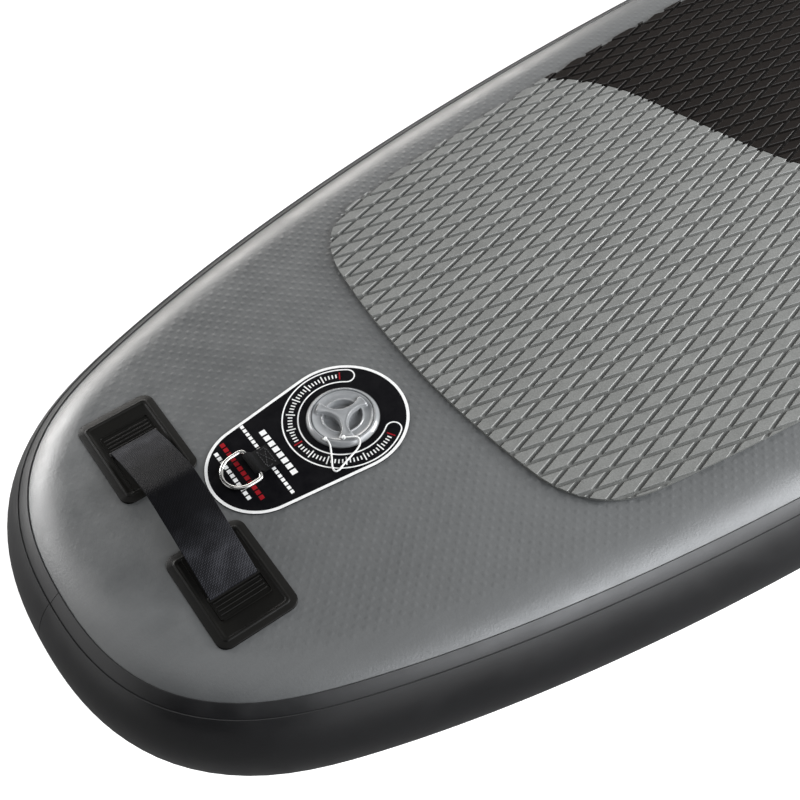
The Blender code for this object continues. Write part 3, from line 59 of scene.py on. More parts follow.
# Camera: its bearing, downward tilt and roll in degrees, where the photograph was taken from
CAMERA_TURNS = (56.585, 52.847, -2.926)
CAMERA_PLACE = (-1.5514, -0.5510, 1.2221)
CAMERA_LENS = 48.25
CAMERA_SHIFT = (-0.0034, 0.0012)

# Studio: the floor's white fades in between two distances from the board
FLOOR_SIDE = 18.0
FLOOR_NEAR = 2.2
FLOOR_FAR = 4.8
WORLD_LIGHT = 0.16

# Materials: where the dimples are stretched flat, and how level a face has to be to show them
STITCH_PITCH = 0.0133
DIMPLE_DEPTH = 0.00034
DIMPLED_LEVEL = (0.975, 0.998)
TIGHT_START = -1.47
TIGHT_FULL = -1.34
# Webbing: how far from the middle line its painted sheen, a lighter bluish colour, comes in
PAINTED_SHEEN_SPAN = (0.052, 0.094)

# Board
RAIL_RADIUS = 0.075
SKIN = 0.0012
RAIL_STRIP = 0.0010
SEAT_GAP = 0.0003
RAIL_BUILD = 2 * (SEAT_GAP + RAIL_STRIP)
BAND_EDGE = 56.4
GUARD_EDGE = 46.0
EDGE_SOFTNESS = 0.35
BUTT_SEAM = 0.0003
ROCKER_START = 1.90
NOSE_RISE = 0.19
# Half outline, from the tail tip to the nose tip: distance from the tail, half width
OUTLINE = (
    (0.000, 0.0000), (0.010, 0.0912), (0.039, 0.1570), (0.100, 0.2178), (0.200, 0.2636),
    (0.400, 0.3180), (0.700, 0.3674), (1.100, 0.3985), (1.600, 0.4080), (2.050, 0.3960),
    (2.450, 0.3560), (2.780, 0.2850), (3.000, 0.2080), (3.130, 0.1340), (3.185, 0.0620),
    (3.200, 0.0000),
)
BOARD_LENGTH = OUTLINE[-1][0]
CAD_STATIONS = 30
FINE_STATIONS = 150
STATION_EVENNESS = 0.45
DECK_COLUMNS = 10
DECK_HOLE_RADIUS = 0.025

# Valve; the profiles are points of (radius, height), the levels pairs of (growth, height)
VALVE_X = 0.3414
VALVE_LOW = -0.044
CAP_PROFILE = (
    (0.0001, -0.0054), (0.0173, -0.0054), (0.0173, -0.0125), (0.0203, -0.0125), (0.0203, -0.0092),
    (0.0191, -0.0092), (0.0191, -0.0068), (0.0203, -0.0068), (0.0203, 0.0025), (0.0304, 0.0025),
    (0.0306, 0.0027), (0.0306, 0.0044), (0.0304, 0.0047), (0.0300, 0.0048), (0.0294, 0.0048),
    (0.0290, 0.0046), (0.0282, 0.0041), (0.0260, 0.0036), (0.0235, 0.0034), (0.0215, 0.0034),
    (0.0210, 0.0035), (0.0206, 0.0040), (0.0202, 0.0042), (0.0197, 0.0042), (0.0193, 0.0040),
    (0.0191, 0.0035), (0.0189, 0.0026), (0.0180, -0.0030), (0.0176, -0.0035), (0.0170, -0.0036),
    (0.0001, -0.0036),
)
GRIP_REACH = 0.0268
GRIP_LEVELS = (
    (0.0012, 0.0030), (0.0006, 0.0044), (0.0002, 0.0056), (0.0, 0.0062), (-0.0002, 0.0067),
    (-0.0005, 0.0070), (-0.0010, 0.0072), (-0.0016, 0.00718), (-0.0022, 0.00700),
)
GRIP_TIP_CORNER = 0.0020
GRIP_SCOOP_RADIUS = 0.0203
GRIP_SCOOP_CENTRE = 0.0268
GRIP_FIRST_ARM = 125.0
STEM_REACH = 0.0190
STEM_LEVELS = ((0.0010, -0.0040), (0.0003, 0.0000), (0.0, 0.0050))
SPRING_RADIUS = 0.0042
SPRING_WIRE = 0.0005
SPRING_TURNS = 6
SPRING_SPAN = (-0.0347, -0.0204)

# Cap string, by its points from the valve's axis
TETHER_RADIUS = 0.0009
TETHER_ROUTE = (
    (-0.0150, -0.0238, 0.0068), (-0.0118, -0.0262, 0.0072), (-0.0075, -0.0290, 0.0074),
    (-0.0042, -0.0322, 0.0073), (-0.0040, -0.0358, 0.0066), (-0.0064, -0.0388, 0.0046),
    (-0.0115, -0.0410, 0.0029), (-0.0180, -0.0430, 0.0024), (-0.0250, -0.0452, 0.0023),
    (-0.0318, -0.0476, 0.0023), (-0.0372, -0.0496, 0.0023), (-0.0409, -0.0489, 0.0023),
    (-0.0414, -0.0452, 0.0024), (-0.0394, -0.0408, 0.0026), (-0.0366, -0.0362, 0.0030),
    (-0.0338, -0.0312, 0.0034), (-0.0312, -0.0262, 0.0040), (-0.0292, -0.0216, 0.0049),
    (-0.0290, -0.0176, 0.0062), (-0.0299, -0.0148, 0.0066),
)
KNOT_SIZE = 0.00062

# Traction pad
PAD_THICKNESS = 0.0050
PAD_REAR = 0.434
PAD_FRONT = 2.200
PAD_MARGIN = 0.097
PAD_REAR_BOW = 0.026
PAD_FRONT_BOW = 0.020
PAD_CORNER_LENGTH = 0.096
PAD_CORNER_WIDTH = 0.082
PAD_JOINT = 0.0008
PAD_RIM_BEVEL = 0.0010
PAD_OPENING = (0.380, 0.120, 0.030)
PAD_COLOUR_LINE = (
    (0.870, 0.254), (0.901, 0.202), (0.920, 0.132), (0.935, 0.073), (0.953, 0.011),
    (0.985, -0.060), (1.045, -0.140), (1.120, -0.215),
)
PAD_COLOUR_PORT = 0.838
PAD_COLOUR_STARBOARD = 1.200
TILE_LONG = 0.0596
TILE_WIDE = 0.0168
GROOVE_FLOOR = 0.00140
GROOVE_TOP = 0.00185
GROOVE_DEPTH = 0.0028
TILE_BEVEL = 0.00060

# Label, its dial round the valve and its rules: place, first end, last end, width, pitch
LABEL_THICKNESS = 0.0008
LABEL_REAR_X = 0.2475
LABEL_REAR_RADIUS = 0.0535
LABEL_FRONT_RADIUS = 0.0655
LABEL_HOLE_RADIUS = 0.0368
DIAL_RADIUS = 0.0517
DIAL_GAP = 52.0
DIAL_TICKS = 60
WHITE_RULES = (
    (0.2690, 0.034, -0.030, 0.0062, 0.0080),
    (0.2560, 0.051, -0.047, 0.0036, 0.0054),
    (0.2200, 0.038, -0.033, 0.0040, 0.0060),
)
RED_RULES = ((0.2300, 0.044, -0.039, 0.0046, 0.0066),)

# Rings, their loops and patches
RING_WIRE = 0.0022
RING_HALF_WIDTH = 0.0190
RING_REACH = 0.0315
RING_CORNER = 0.0045
BAR_HEIGHT = 0.0040
REST_TILT = -math.degrees(math.asin((BAR_HEIGHT - RING_WIRE - SEAT_GAP) / RING_REACH))
LOOP_TAPE = 0.0011
LOOP_WIDTH = 0.0260
LOOP_LENGTH = 0.0220
PATCH_RADIUS = 0.038
TOW_PATCH_RADIUS = 0.034
PATCH_THICKNESS = 0.0012
LEASH_RING_SPOT = (0.2415, 0.0035)
TOW_RING_X = 3.035
BUNGEE_REAR = (2.330, 0.225)
BUNGEE_FRONT = (2.680, 0.165)
BUNGEE_RADIUS = 0.0030
BUNGEE_LIFT = 16.0
BUNGEE_WRAP = 0.0061
BUNGEE_CROSSING = 0.0045

# Tail and nose handle; the plate's steps are pairs of (distance from its edge, height)
TAIL_HANDLE_X = 0.1628
NOSE_HANDLE_X = 2.850
PLATE_LENGTH = 0.080
PLATE_WIDTH = 0.109
PLATE_INNER_Y = 0.0353
PLATE_CORNER = 0.011
PLATE_STEPS = (
    (0.0, 0.0003), (0.0, 0.0010), (0.0003, 0.0016), (0.0009, 0.0020), (0.0060, 0.0020),
    (0.0066, 0.0023), (0.0071, 0.0029), (0.0078, 0.0032), (0.0087, 0.0032), (0.0094, 0.0029),
    (0.0099, 0.0023), (0.0106, 0.0020),
)
RECESS_Y = 0.0815
RIB_START_Y = 0.0995
RIB_PITCH = 0.0045
RIB_RADIUS = 0.0009
STRAP_WIDTH = 0.048
STRAP_THICKNESS = 0.0022
STRAP_END_Y = 0.0950
STRAP_ENDS = (0.0009, 0.0030)
STRAP_RISE = 0.0465
STRAP_SHAPE = 1.35
STRAP_START = 0.0047
STRAP_LEAN = 0.045

# Centre handle
CENTRE_X = 1.560
CENTRE_HALF_SPAN = 0.125
CENTRE_RISE = 0.034
CENTRE_FLAT = 0.070
CENTRE_STRAP_WIDTH = 0.038
CENTRE_PATCH_SIZE = (0.085, 0.080, 0.014)
CENTRE_PATCH_THICKNESS = 0.0020
CENTRE_PATCH_EDGE = 0.0008
GRIP_LENGTH = 0.125
GRIP_WIDTH = 0.048
GRIP_DEPTH = 0.015

# Fins. A plate's numbers are its length, width and corner. A cut's are its length, width, and its
# lowest and highest point over the box's lower face. A fin's are its root's ends, depth, sweep,
# trailing sweep, belly and thickness.
HULL_Z = -0.150
BOX_X = 0.3330
BOX_LOW = -0.1763
BOX_FOOT = (0.350, 0.110, 0.033)
BOX_BODY = (0.290, 0.030, 0.012)
BOX_CUTS = (
    (0.268, 0.0096, -0.010, 0.0215), (0.268, 0.0166, 0.0080, 0.0126), (0.016, 0.0166, -0.010, 0.0103),
)
SCREW_X = 0.4200
CENTRE_FIN = ((0.215, 0.400), 0.2034, 0.235, 0.070, 0.022, 0.0082)
TONGUE_WIDTH = 2 * (0.0096 / 2 - 0.00035)
SIDE_FIN = ((-0.0575, 0.0575), 0.090, 0.115, 0.045, 0.010, 0.0080)
SIDE_FIN_FOOT = (0.150, 0.046, 0.020)
SIDE_FIN_SPOT = (0.4875, 0.200)
SIDE_FIN_CANT = 7.0

# CAD nodes that stay as they are, and the material that each gets
NODE_MATERIALS = {
    "valve_cap_seal": "rubber", "valve_poppet": "rubber", "valve_gasket": "rubber", "valve_pin": "valve",
    "valve_poppet_nut": "valve", "valve_base_nut": "fin", "fin_screw": "fin", "fin_washer": "steel",
    "fin_roller_pin": "brass", "fin_nut_plate": "brass", "inner_rail_strip": "rail",
}


def add_camera():
    azimuth, elevation, roll = (math.radians(turn) for turn in CAMERA_TURNS)
    along = Vector((
        math.cos(elevation) * math.cos(azimuth),
        math.cos(elevation) * math.sin(azimuth),
        -math.sin(elevation),
    ))
    level = along.cross(Vector((0, 0, 1))).normalized()
    upright = level.cross(along)
    right = math.cos(roll) * level + math.sin(roll) * upright
    up = -math.sin(roll) * level + math.cos(roll) * upright
    camera = bpy.data.cameras.new("camera")
    camera.sensor_width = 36.0
    camera.lens = CAMERA_LENS
    camera.shift_x, camera.shift_y = CAMERA_SHIFT
    camera.clip_start = 0.01
    holder = bpy.data.objects.new("camera", camera)
    turn = Matrix((right, up, -along)).transposed().to_4x4()
    holder.matrix_world = Matrix.Translation(CAMERA_PLACE) @ turn
    bpy.context.scene.collection.objects.link(holder)
    bpy.context.scene.camera = holder


# Materials


class Nodes:
    """A node tree, put together node by node."""

    def __init__(self, tree):
        self.tree = tree

    def feed(self, socket, value):
        if isinstance(value, bpy.types.NodeSocket):
            self.tree.links.new(value, socket)
        else:
            socket.default_value = value

    def node(self, kind, inputs=(), **settings):
        made = self.tree.nodes.new(kind)
        for key, value in settings.items():
            setattr(made, key, value)
        for key, value in dict(inputs).items():
            self.feed(made.inputs[key], value)
        return made

    def maths(self, operation, first, second=0.0, third=0.0):
        inputs = {0: first, 1: second, 2: third}
        return self.node("ShaderNodeMath", inputs, operation=operation).outputs[0]

    def fit(self, value, low, high, to_low=0.0, to_high=1.0):
        """Maps a value from one span to another, held at both ends."""
        inputs = {"Value": value, "From Min": low, "From Max": high, "To Min": to_low, "To Max": to_high}
        return self.node("ShaderNodeMapRange", inputs).outputs["Result"]


class Paint(Nodes):
    """A procedural material, coloured, dulled and bumped by its nodes."""

    def __init__(self, name, metallic=0.0, specular=0.5, sheen=0.0, sheen_tint=(1.0, 1.0, 1.0), coat=0.0):
        self.material = bpy.data.materials.new(name)
        self.material.use_nodes = True
        super().__init__(self.material.node_tree)
        self.shader = self.tree.nodes["Principled BSDF"]
        for key, value in (
            ("Metallic", metallic), ("Specular IOR Level", specular), ("Coat Weight", coat),
            ("Coat Roughness", 0.2), ("Sheen Weight", sheen), ("Sheen Roughness", 0.4),
            ("Sheen Tint", (*sheen_tint, 1.0)),
        ):
            self.shader.inputs[key].default_value = value
        self.place = self.node("ShaderNodeTexCoord").outputs["Object"]

    def stretched(self, scale, turn=0.0):
        inputs = {"Vector": self.place, "Scale": scale, "Rotation": (0.0, 0.0, turn)}
        return self.node("ShaderNodeMapping", inputs).outputs["Vector"]

    def noise(self, scale, detail=3.0, rough=0.55, vector=None):
        inputs = {"Vector": vector or self.place, "Scale": scale, "Detail": detail, "Roughness": rough}
        return self.node("ShaderNodeTexNoise", inputs).outputs["Fac"]

    def axis(self, vector, name):
        return self.node("ShaderNodeSeparateXYZ", {"Vector": vector}).outputs[name]

    def wave(self, axis, pitch, turn=0.0):
        """A sine from -1 to 1 along an axis, with its pitch in metres."""
        along = self.axis(self.stretched((1, 1, 1), turn), axis)
        return self.maths("SINE", self.maths("MULTIPLY", along, 2 * math.pi / pitch))

    def ripple(self, axis, pitch, turn=0.0):
        """A sine from 0 to 1 along an axis, with its pitch in metres."""
        return self.maths("MULTIPLY_ADD", self.wave(axis, pitch, turn), 0.5, 0.5)

    def weigh(self, *parts):
        """The sum of values, each times its weight."""
        total = 0.0
        for value, weight in parts:
            total = self.maths("MULTIPLY_ADD", value, weight, total)
        return total

    def mix(self, factor, first, second):
        ends = [end if isinstance(end, bpy.types.NodeSocket) else (*end, 1.0) for end in (first, second)]
        inputs = {0: factor, 6: ends[0], 7: ends[1]}
        return self.node("ShaderNodeMix", inputs, data_type="RGBA").outputs[2]

    def colour(self, value, low, high, dark, light):
        """Colours the surface from dark to light, as the value goes from low to high."""
        self.feed(self.shader.inputs["Base Color"], self.mix(self.fit(value, low, high), dark, light))

    def roughness(self, value, start, end):
        """Leads the roughness from start to end, as the value goes through its middle span."""
        self.feed(self.shader.inputs["Roughness"], self.fit(value, 0.3, 0.7, start, end))

    def bump(self, height, distance, strength=1.0):
        """Adds a relief of that depth in metres on top of those already there."""
        inputs = {"Height": height, "Distance": distance, "Strength": strength}
        normal = self.shader.inputs["Normal"]
        if normal.is_linked:
            inputs["Normal"] = normal.links[0].from_socket
        self.feed(normal, self.node("ShaderNodeBump", inputs).outputs["Normal"])


def coated_fabric(name, dark, light, roughness, dimple, specular=0.5, uneven=1.0):
    """PVC-coated fabric: a soft gloss over a fine weave, with drop-stitch dimples where they show."""
    paint = Paint(name, specular=specular)
    streak = paint.noise(1.0, vector=paint.stretched((9.0, 150.0, 40.0)))
    fine = paint.noise(420.0, 4.0, 0.6)
    shade = paint.weigh((paint.noise(5.0, 4.0), 0.6), (streak, 0.25), (fine, 0.25))
    paint.colour(shade, 0.35, 0.75, dark, light)
    paint.roughness(paint.noise(30.0), roughness - 0.05, roughness + 0.06)
    paint.bump(paint.maths("MULTIPLY", paint.ripple("X", 0.0013), paint.ripple("Y", 0.0013)), 0.00002, 0.5)
    if dimple:
        rows = paint.maths("MULTIPLY", paint.wave("X", STITCH_PITCH), paint.wave("Y", STITCH_PITCH))
        stitches = paint.maths("POWER", paint.maths("MAXIMUM", rows, 0.0), 1.5)
        level = paint.axis(paint.node("ShaderNodeNewGeometry").outputs["True Normal"], "Z")
        flat = paint.fit(paint.maths("ABSOLUTE", level), *DIMPLED_LEVEL)
        tight = paint.fit(paint.axis(paint.place, "X"), TIGHT_START, TIGHT_FULL, 0.25, 1.0)
        relief = paint.maths("MULTIPLY", paint.maths("MULTIPLY", stitches, flat), tight)
        paint.bump(relief, DIMPLE_DEPTH, dimple)
    paint.bump(fine, 0.00020 * uneven, 0.8)
    paint.bump(paint.noise(22.0, 2.0), 0.0006 * uneven, 0.25)
    return paint.material


def foam(name, dark, light, specular=0.28, sheen=0.12, roughness=0.70):
    """EVA foam with a fine open grain: matt where it is brushed, smoother where it is pressed."""
    paint = Paint(name, specular=specular, sheen=sheen)
    grain = paint.noise(700.0, 3.0, 0.7)
    blotch = paint.noise(26.0, 4.0)
    paint.colour(paint.weigh((blotch, 0.4), (grain, 0.6)), 0.35, 0.65, dark, light)
    paint.roughness(blotch, roughness - 0.08, roughness + 0.08)
    paint.bump(grain, 0.00012, 0.7)
    cells = paint.node("ShaderNodeTexVoronoi", {"Vector": paint.place, "Scale": 700.0})
    paint.bump(cells.outputs["Distance"], 0.00006, 0.5)
    return paint.material


def moulded(name, dark, light, roughness, grain=0.00005, coat=0.0, specular=0.4):
    """Moulded plastic with a fine spark-eroded grain, rubbed a little smoother in patches."""
    paint = Paint(name, specular=specular, coat=coat)
    patch = paint.noise(45.0, 4.0)
    paint.colour(patch, 0.3, 0.7, dark, light)
    paint.roughness(patch, roughness + 0.06, roughness - 0.06)
    paint.bump(paint.noise(1300.0, 3.0, 0.6), grain, 0.7)
    paint.bump(patch, 0.0003, 0.25)
    return paint.material


def webbing(name, dark, light, pitch, along="Y", sheen=0.45, specular=0.25, roughness=0.7, painted_sheen=None):
    """Woven tape: a twill of threads, a little fuzz and a bluish sheen, with, when asked, a painted sheen:
    lighter and bluer away from its middle.
    """
    across = "X" if along == "Y" else "Y"
    paint = Paint(name, specular=specular, sheen=sheen, sheen_tint=(0.62, 0.66, 0.80))
    twill = paint.ripple("X", pitch * 1.41, math.radians(45))
    threads = paint.maths("MULTIPLY", paint.ripple(across, pitch), paint.ripple(along, pitch))
    weave = paint.maths("MULTIPLY_ADD", twill, 0.5, threads)
    fuzz = paint.noise(900.0, 3.0, 0.7)
    wear_and_sheen_noise = paint.noise(38.0)
    shade = paint.weigh((wear_and_sheen_noise, 1.0), (fuzz, 0.35), (weave, 0.4))
    # Painted sheen: lighter and bluer away from the board's middle line, standing in for light that the
    # strap's sloping ends reflect; the middle stays dark
    if painted_sheen:
        painted_sheen_reach = paint.weigh((paint.maths("ABSOLUTE", paint.axis(paint.place, "Y")), 1.0), (wear_and_sheen_noise, 0.03))
        share = paint.maths("MULTIPLY", paint.fit(shade, 0.75, 1.25, 0.15), paint.fit(painted_sheen_reach, *PAINTED_SHEEN_SPAN))
        colour_under_sheen = paint.mix(paint.fit(shade, 0.55, 1.35), dark, light)
        paint.feed(paint.shader.inputs["Base Color"], paint.mix(share, colour_under_sheen, painted_sheen))
    else:
        paint.colour(shade, 0.55, 1.35, dark, light)
    paint.roughness(fuzz, roughness - 0.08, roughness + 0.12)
    paint.bump(weave, 0.00020, 0.8)
    paint.bump(fuzz, 0.00012, 0.6)
    return paint.material


def metal(name, dark, light, roughness):
    """Turned or drawn metal with fine scratches and a few dull spots."""
    paint = Paint(name, metallic=1.0)
    scratch = paint.noise(1.0, vector=paint.stretched((3000.0, 260.0, 900.0), 0.5))
    paint.colour(paint.noise(160.0), 0.35, 0.7, light, dark)
    paint.roughness(scratch, roughness - 0.06, roughness + 0.12)
    paint.bump(scratch, 0.00001, 0.5)
    return paint.material


def stranded(name, dark, light, pitch, roughness=0.7, sheen=0.3):
    """Cord or yarn: short twisted fibres and a little soiling."""
    paint = Paint(name, specular=0.25, sheen=sheen)
    fibre = paint.noise(1.0, vector=paint.stretched((pitch, pitch * 2.2, pitch * 1.4), 0.6))
    paint.colour(paint.weigh((paint.noise(90.0), 0.5), (fibre, 0.5)), 0.32, 0.6, dark, light)
    paint.roughness(fibre, roughness + 0.1, roughness - 0.05)
    paint.bump(fibre, 0.00012, 0.7)
    return paint.material


def printed(name, dark, light, roughness):
    """Printed or coated label surface: nearly even, scuffed here and there."""
    paint = Paint(name, specular=0.08)
    scuff = paint.noise(220.0, 5.0, 0.7)
    paint.colour(scuff, 0.35, 0.75, dark, light)
    paint.roughness(paint.noise(70.0), roughness - 0.06, roughness + 0.08)
    paint.bump(scuff, 0.00003, 0.5)
    return paint.material


DECK_COLOURS = (0.073, 0.076, 0.077), (0.097, 0.101, 0.102)
MATERIALS = {
    "deck": coated_fabric("deck_pvc", *DECK_COLOURS, 0.39, 0.78, 0.85),
    "hull": coated_fabric("hull_pvc", *DECK_COLOURS, 0.44, 0.78, 0.7),
    "rail": coated_fabric("rail_pvc", (0.003, 0.003, 0.0034), (0.007, 0.007, 0.008), 0.40, 0.0, 0.60, 0.3),
    "patch": coated_fabric("patch_pvc", (0.008, 0.008, 0.009), (0.014, 0.014, 0.015), 0.45, 0.0, 0.35),
    "grey_foam": foam("grey_foam", (0.130, 0.132, 0.126), (0.216, 0.219, 0.210)),
    # Groove copies of the foams: smoother, as their pressed skin is, and darker, which is painted shade in
    # the grooves
    "grey_groove_shaded": foam("grey_foam_pressed_shaded", (0.110, 0.112, 0.107), (0.170, 0.173, 0.165), 0.45, 0.0, 0.42),
    "black_groove_shaded": foam(
        "black_foam_pressed_shaded", (0.004, 0.0033, 0.003), (0.009, 0.0075, 0.0066), 0.10, 0.0, 0.46
    ),
    "black_foam": foam("black_foam", (0.0060, 0.0048, 0.0042), (0.0150, 0.0122, 0.0108), 0.06, 0.0),
    "moulded": moulded(
        "moulded_black", (0.0030, 0.0029, 0.0025), (0.0066, 0.0063, 0.0055), 0.40, specular=0.11
    ),
    # The strap webbing's colour ends in a painted sheen, which lightens it away from the middle
    "webbing": webbing(
        "webbing_black", (0.0008, 0.0008, 0.0010), (0.005, 0.005, 0.0065), 0.0016, "Y", 0.02, 0.05, 0.5,
        painted_sheen=(0.052, 0.053, 0.060),
    ),
    "tape": webbing("tape_black", (0.002, 0.002, 0.002), (0.007, 0.007, 0.0075), 0.0010, "X", 0.02, 0.08),
    "valve": moulded("valve_plastic", (0.215, 0.222, 0.228), (0.300, 0.308, 0.315), 0.18, 0.00001, 0.8),
    "label": printed("label_black", (0.0012, 0.0012, 0.0020), (0.0035, 0.0035, 0.0045), 0.38),
    "white": printed("label_white", (0.860, 0.860, 0.850), (0.700, 0.700, 0.690), 0.45),
    "red": printed("label_red", (0.330, 0.010, 0.016), (0.220, 0.008, 0.012), 0.45),
    "steel": metal("steel", (0.34, 0.34, 0.33), (0.60, 0.60, 0.58), 0.14),
    "brass": metal("brass", (0.46, 0.32, 0.12), (0.70, 0.50, 0.20), 0.28),
    "string": stranded("string_white", (0.66, 0.66, 0.64), (0.88, 0.88, 0.87), 1400.0),
    "elastic": stranded("elastic_black", (0.010, 0.010, 0.011), (0.045, 0.045, 0.048), 900.0),
    "thread": stranded("thread_black", (0.012, 0.012, 0.013), (0.050, 0.050, 0.054), 2200.0),
    "yarn": stranded("yarn", (0.50, 0.50, 0.48), (0.74, 0.74, 0.71), 700.0),
    "rubber": moulded("rubber", (0.011, 0.011, 0.011), (0.022, 0.022, 0.022), 0.66, 0.00008),
    "fin": moulded("fin_plastic", (0.008, 0.008, 0.0085), (0.016, 0.016, 0.017), 0.34, 0.00004),
    "card": moulded("black_card", (0.004, 0.004, 0.004), (0.008, 0.008, 0.008), 0.9, specular=0.0),
    "padding": foam("grip_neoprene", (0.010, 0.010, 0.011), (0.024, 0.024, 0.026)),
}


# Shapes


class Shape:
    """The points and faces of one piece, gathered from closed shells."""

    def __init__(self):
        self.points = []
        self.faces = []

    def grid(self, rows, wrap_rows=False, wrap_columns=False):
        """Joins rows of equal length into quads, and returns where the first and last rows start."""
        start, width = len(self.points), len(rows[0])
        for row in rows:
            self.points.extend(Vector(point) for point in row)
        for i in range(len(rows) if wrap_rows else len(rows) - 1):
            near, far = start + i * width, start + (i + 1) % len(rows) * width
            for j in range(width if wrap_columns else width - 1):
                k = (j + 1) % width
                self.faces.append((near + j, near + k, far + k, far + j))
        return start, start + (len(rows) - 1) * width

    def loft(self, loops, closed=False):
        """A tube through equal loops, with flat ends unless it is closed on itself."""
        first, last = self.grid(loops, wrap_rows=closed, wrap_columns=True)
        if not closed:
            for start in (first, last):
                self.faces.append(tuple(range(start, start + len(loops[0]))))

    def levels(self, levels, closed=False):
        """An upright solid through flat outlines, each with its height, or a closed band of them."""
        self.loft([[(x, y, height) for x, y in outline] for outline, height in levels], closed)

    def turned(self, profile, steps=72, closed=False):
        """Turns a profile of (radius, height) round an upright axis."""
        self.levels([(circle(radius, steps), height) for radius, height in profile], closed)

    def moved(self, matrix, start=0):
        for i in range(start, len(self.points)):
            self.points[i] = matrix @ self.points[i]
        return self


def block(outline, low, high):
    """An upright solid between two heights."""
    shape = Shape()
    shape.levels([(outline, low), (outline, high)])
    return shape


def flat_sheet(width, height):
    shape = Shape()
    corners = (-1, -1), (1, -1), (1, 1), (-1, 1)
    shape.points = [Vector((x * width / 2, y * height / 2, 0.0)) for x, y in corners]
    shape.faces = [(0, 1, 2, 3)]
    return shape


def circle(radius, steps, centre=(0.0, 0.0)):
    return arc(centre, radius, 0.0, 360.0, steps)[:-1]


def arc(centre, radius, start, end, steps):
    """Points on an arc between two angles in degrees, both ends included."""
    turns = np.radians(np.linspace(start, end, steps + 1))
    return [(centre[0] + radius * math.cos(t), centre[1] + radius * math.sin(t)) for t in turns]


def rounded_rectangle(length, width, radius, centre=(0.0, 0.0), steps=8):
    outline = []
    for sign_x, sign_y, start in ((1, 1, 0), (-1, 1, 90), (-1, -1, 180), (1, -1, 270)):
        x = centre[0] + sign_x * (length / 2 - radius)
        y = centre[1] + sign_y * (width / 2 - radius)
        outline += arc((x, y), radius, start, start + 90, steps)
    return outline


def inset(outline, distance):
    """A smooth anticlockwise outline moved inwards."""
    points = np.array(outline)
    along = np.roll(points, -1, axis=0) - np.roll(points, 1, axis=0)
    along /= np.linalg.norm(along, axis=1)[:, None]
    moved = points + np.stack((-along[:, 1], along[:, 0]), axis=1) * distance
    return [tuple(point) for point in moved]


def stepped(length, width, corner, steps, centre=(0.0, 0.0)):
    """Levels of a plate with rounded corners, each drawn in by a step, with its height."""
    return [
        (rounded_rectangle(length - 2 * step, width - 2 * step, max(corner - step, 0.004), centre), height)
        for step, height in steps
    ]


def smooth_path(points, steps, closed=False):
    """A Catmull-Rom curve through the points."""
    points = [Vector(point) for point in points]
    path = []
    around = points[-1:] + points + points[:2] if closed else points[:1] + points + points[-1:]
    for before, start, end, after in zip(around, around[1:], around[2:], around[3:]):
        for step in range(steps):
            t = step / steps
            path.append(0.5 * (
                2 * start + (end - before) * t
                + (2 * before - 5 * start + 4 * end - after) * t**2
                + (3 * start - before - 3 * end + after) * t**3
            ))
    return path if closed else path + points[-1:]


def tube_loops(path, radius, sides=12, closed=False, strands=0, lay=1.0):
    """Loops round a path, turned as little as can be; strands twist round it once every lay."""
    points = [Vector(point) for point in path]
    count = len(points)
    around = points[-1:] + points + points[:1] if closed else points[:1] + points + points[-1:]
    tangents = [(after - before).normalized() for before, after in zip(around, around[2:])]
    normal = tangents[0].orthogonal().normalized()
    normals = []
    for tangent in tangents + tangents[:1] * closed:
        normal = (normal - tangent * normal.dot(tangent)).normalized()
        normals.append(normal)
    slip = 0.0
    if closed:
        side = tangents[0].cross(normals[0])
        slip = math.atan2(normals[-1].dot(side), normals[-1].dot(normals[0]))
    loops = []
    reached = 0.0
    for i, (point, tangent, normal) in enumerate(zip(points, tangents, normals)):
        side = tangent.cross(normal)
        loop = []
        for k in range(sides):
            angle = 2 * math.pi * k / sides
            twist = strands * (angle - 2 * math.pi * reached / lay)
            reach = radius * (1.0 - (0.13 - 0.13 * abs(math.cos(twist / 2)) if strands else 0.0))
            turn = angle - slip * i / count
            loop.append(point + (normal * math.cos(turn) + side * math.sin(turn)) * reach)
        loops.append(loop)
        if i < count - 1:
            reached += (points[i + 1] - point).length
    return loops


def tape_loops(path, across, thickness, width):
    """Loops of a woven tape along a path, with softly rounded edges."""
    across = Vector(across).normalized()
    path = [Vector(point) for point in path]
    section = rounded_rectangle(width, thickness, thickness * 0.45, steps=3)
    loops = []
    for before, point, after in zip(path[:1] + path, path, path[1:] + path[-1:]):
        out = across.cross(after - before).normalized()
        loops.append([point + across * a + out * b for a, b in section])
    return loops


def stitches(shape, start, end, up, pitch=0.0032, length=0.0024, radius=0.00035):
    """A row of thread stitches that lie on a surface between two points."""
    start, end, up = Vector(start), Vector(end), Vector(up).normalized()
    run = end - start
    along = run.normalized()
    side = along.cross(up)
    for number in range(max(1, int(run.length / pitch))):
        middle = start + along * pitch * (number + 0.5)
        loops = []
        for share, size in ((-0.5, 0.25), (-0.25, 0.9), (0.0, 1.0), (0.25, 0.9), (0.5, 0.25)):
            centre = middle + along * length * share
            loops.append([centre + (up * b + side * a) for a, b in circle(radius * size, 6)])
        shape.loft(loops)


def add_piece(name, shape, material, body="board", stands_for=(), sharp=38):
    """Makes a shape a piece of its own in the world, on a body."""
    mesh = bpy.data.meshes.new(name)
    mesh.from_pydata([point + BOARD_ORIGIN for point in shape.points], [], shape.faces)
    tidy = bmesh.new()
    tidy.from_mesh(mesh)
    bmesh.ops.recalc_face_normals(tidy, faces=tidy.faces)
    tidy.to_mesh(mesh)
    tidy.free()
    piece = bpy.data.objects.new(name, mesh)
    bpy.context.scene.collection.objects.link(piece)
    finish_piece(piece, material, sharp)
    if body:
        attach(piece, body)
    if stands_for:
        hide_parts(*stands_for)
    return piece


def finish_piece(piece, material, sharp):
    piece.data.shade_smooth()
    piece.data.set_sharp_from_angle(angle=math.radians(sharp))
    piece.data.materials.clear()
    piece.data.materials.append(MATERIALS[material])


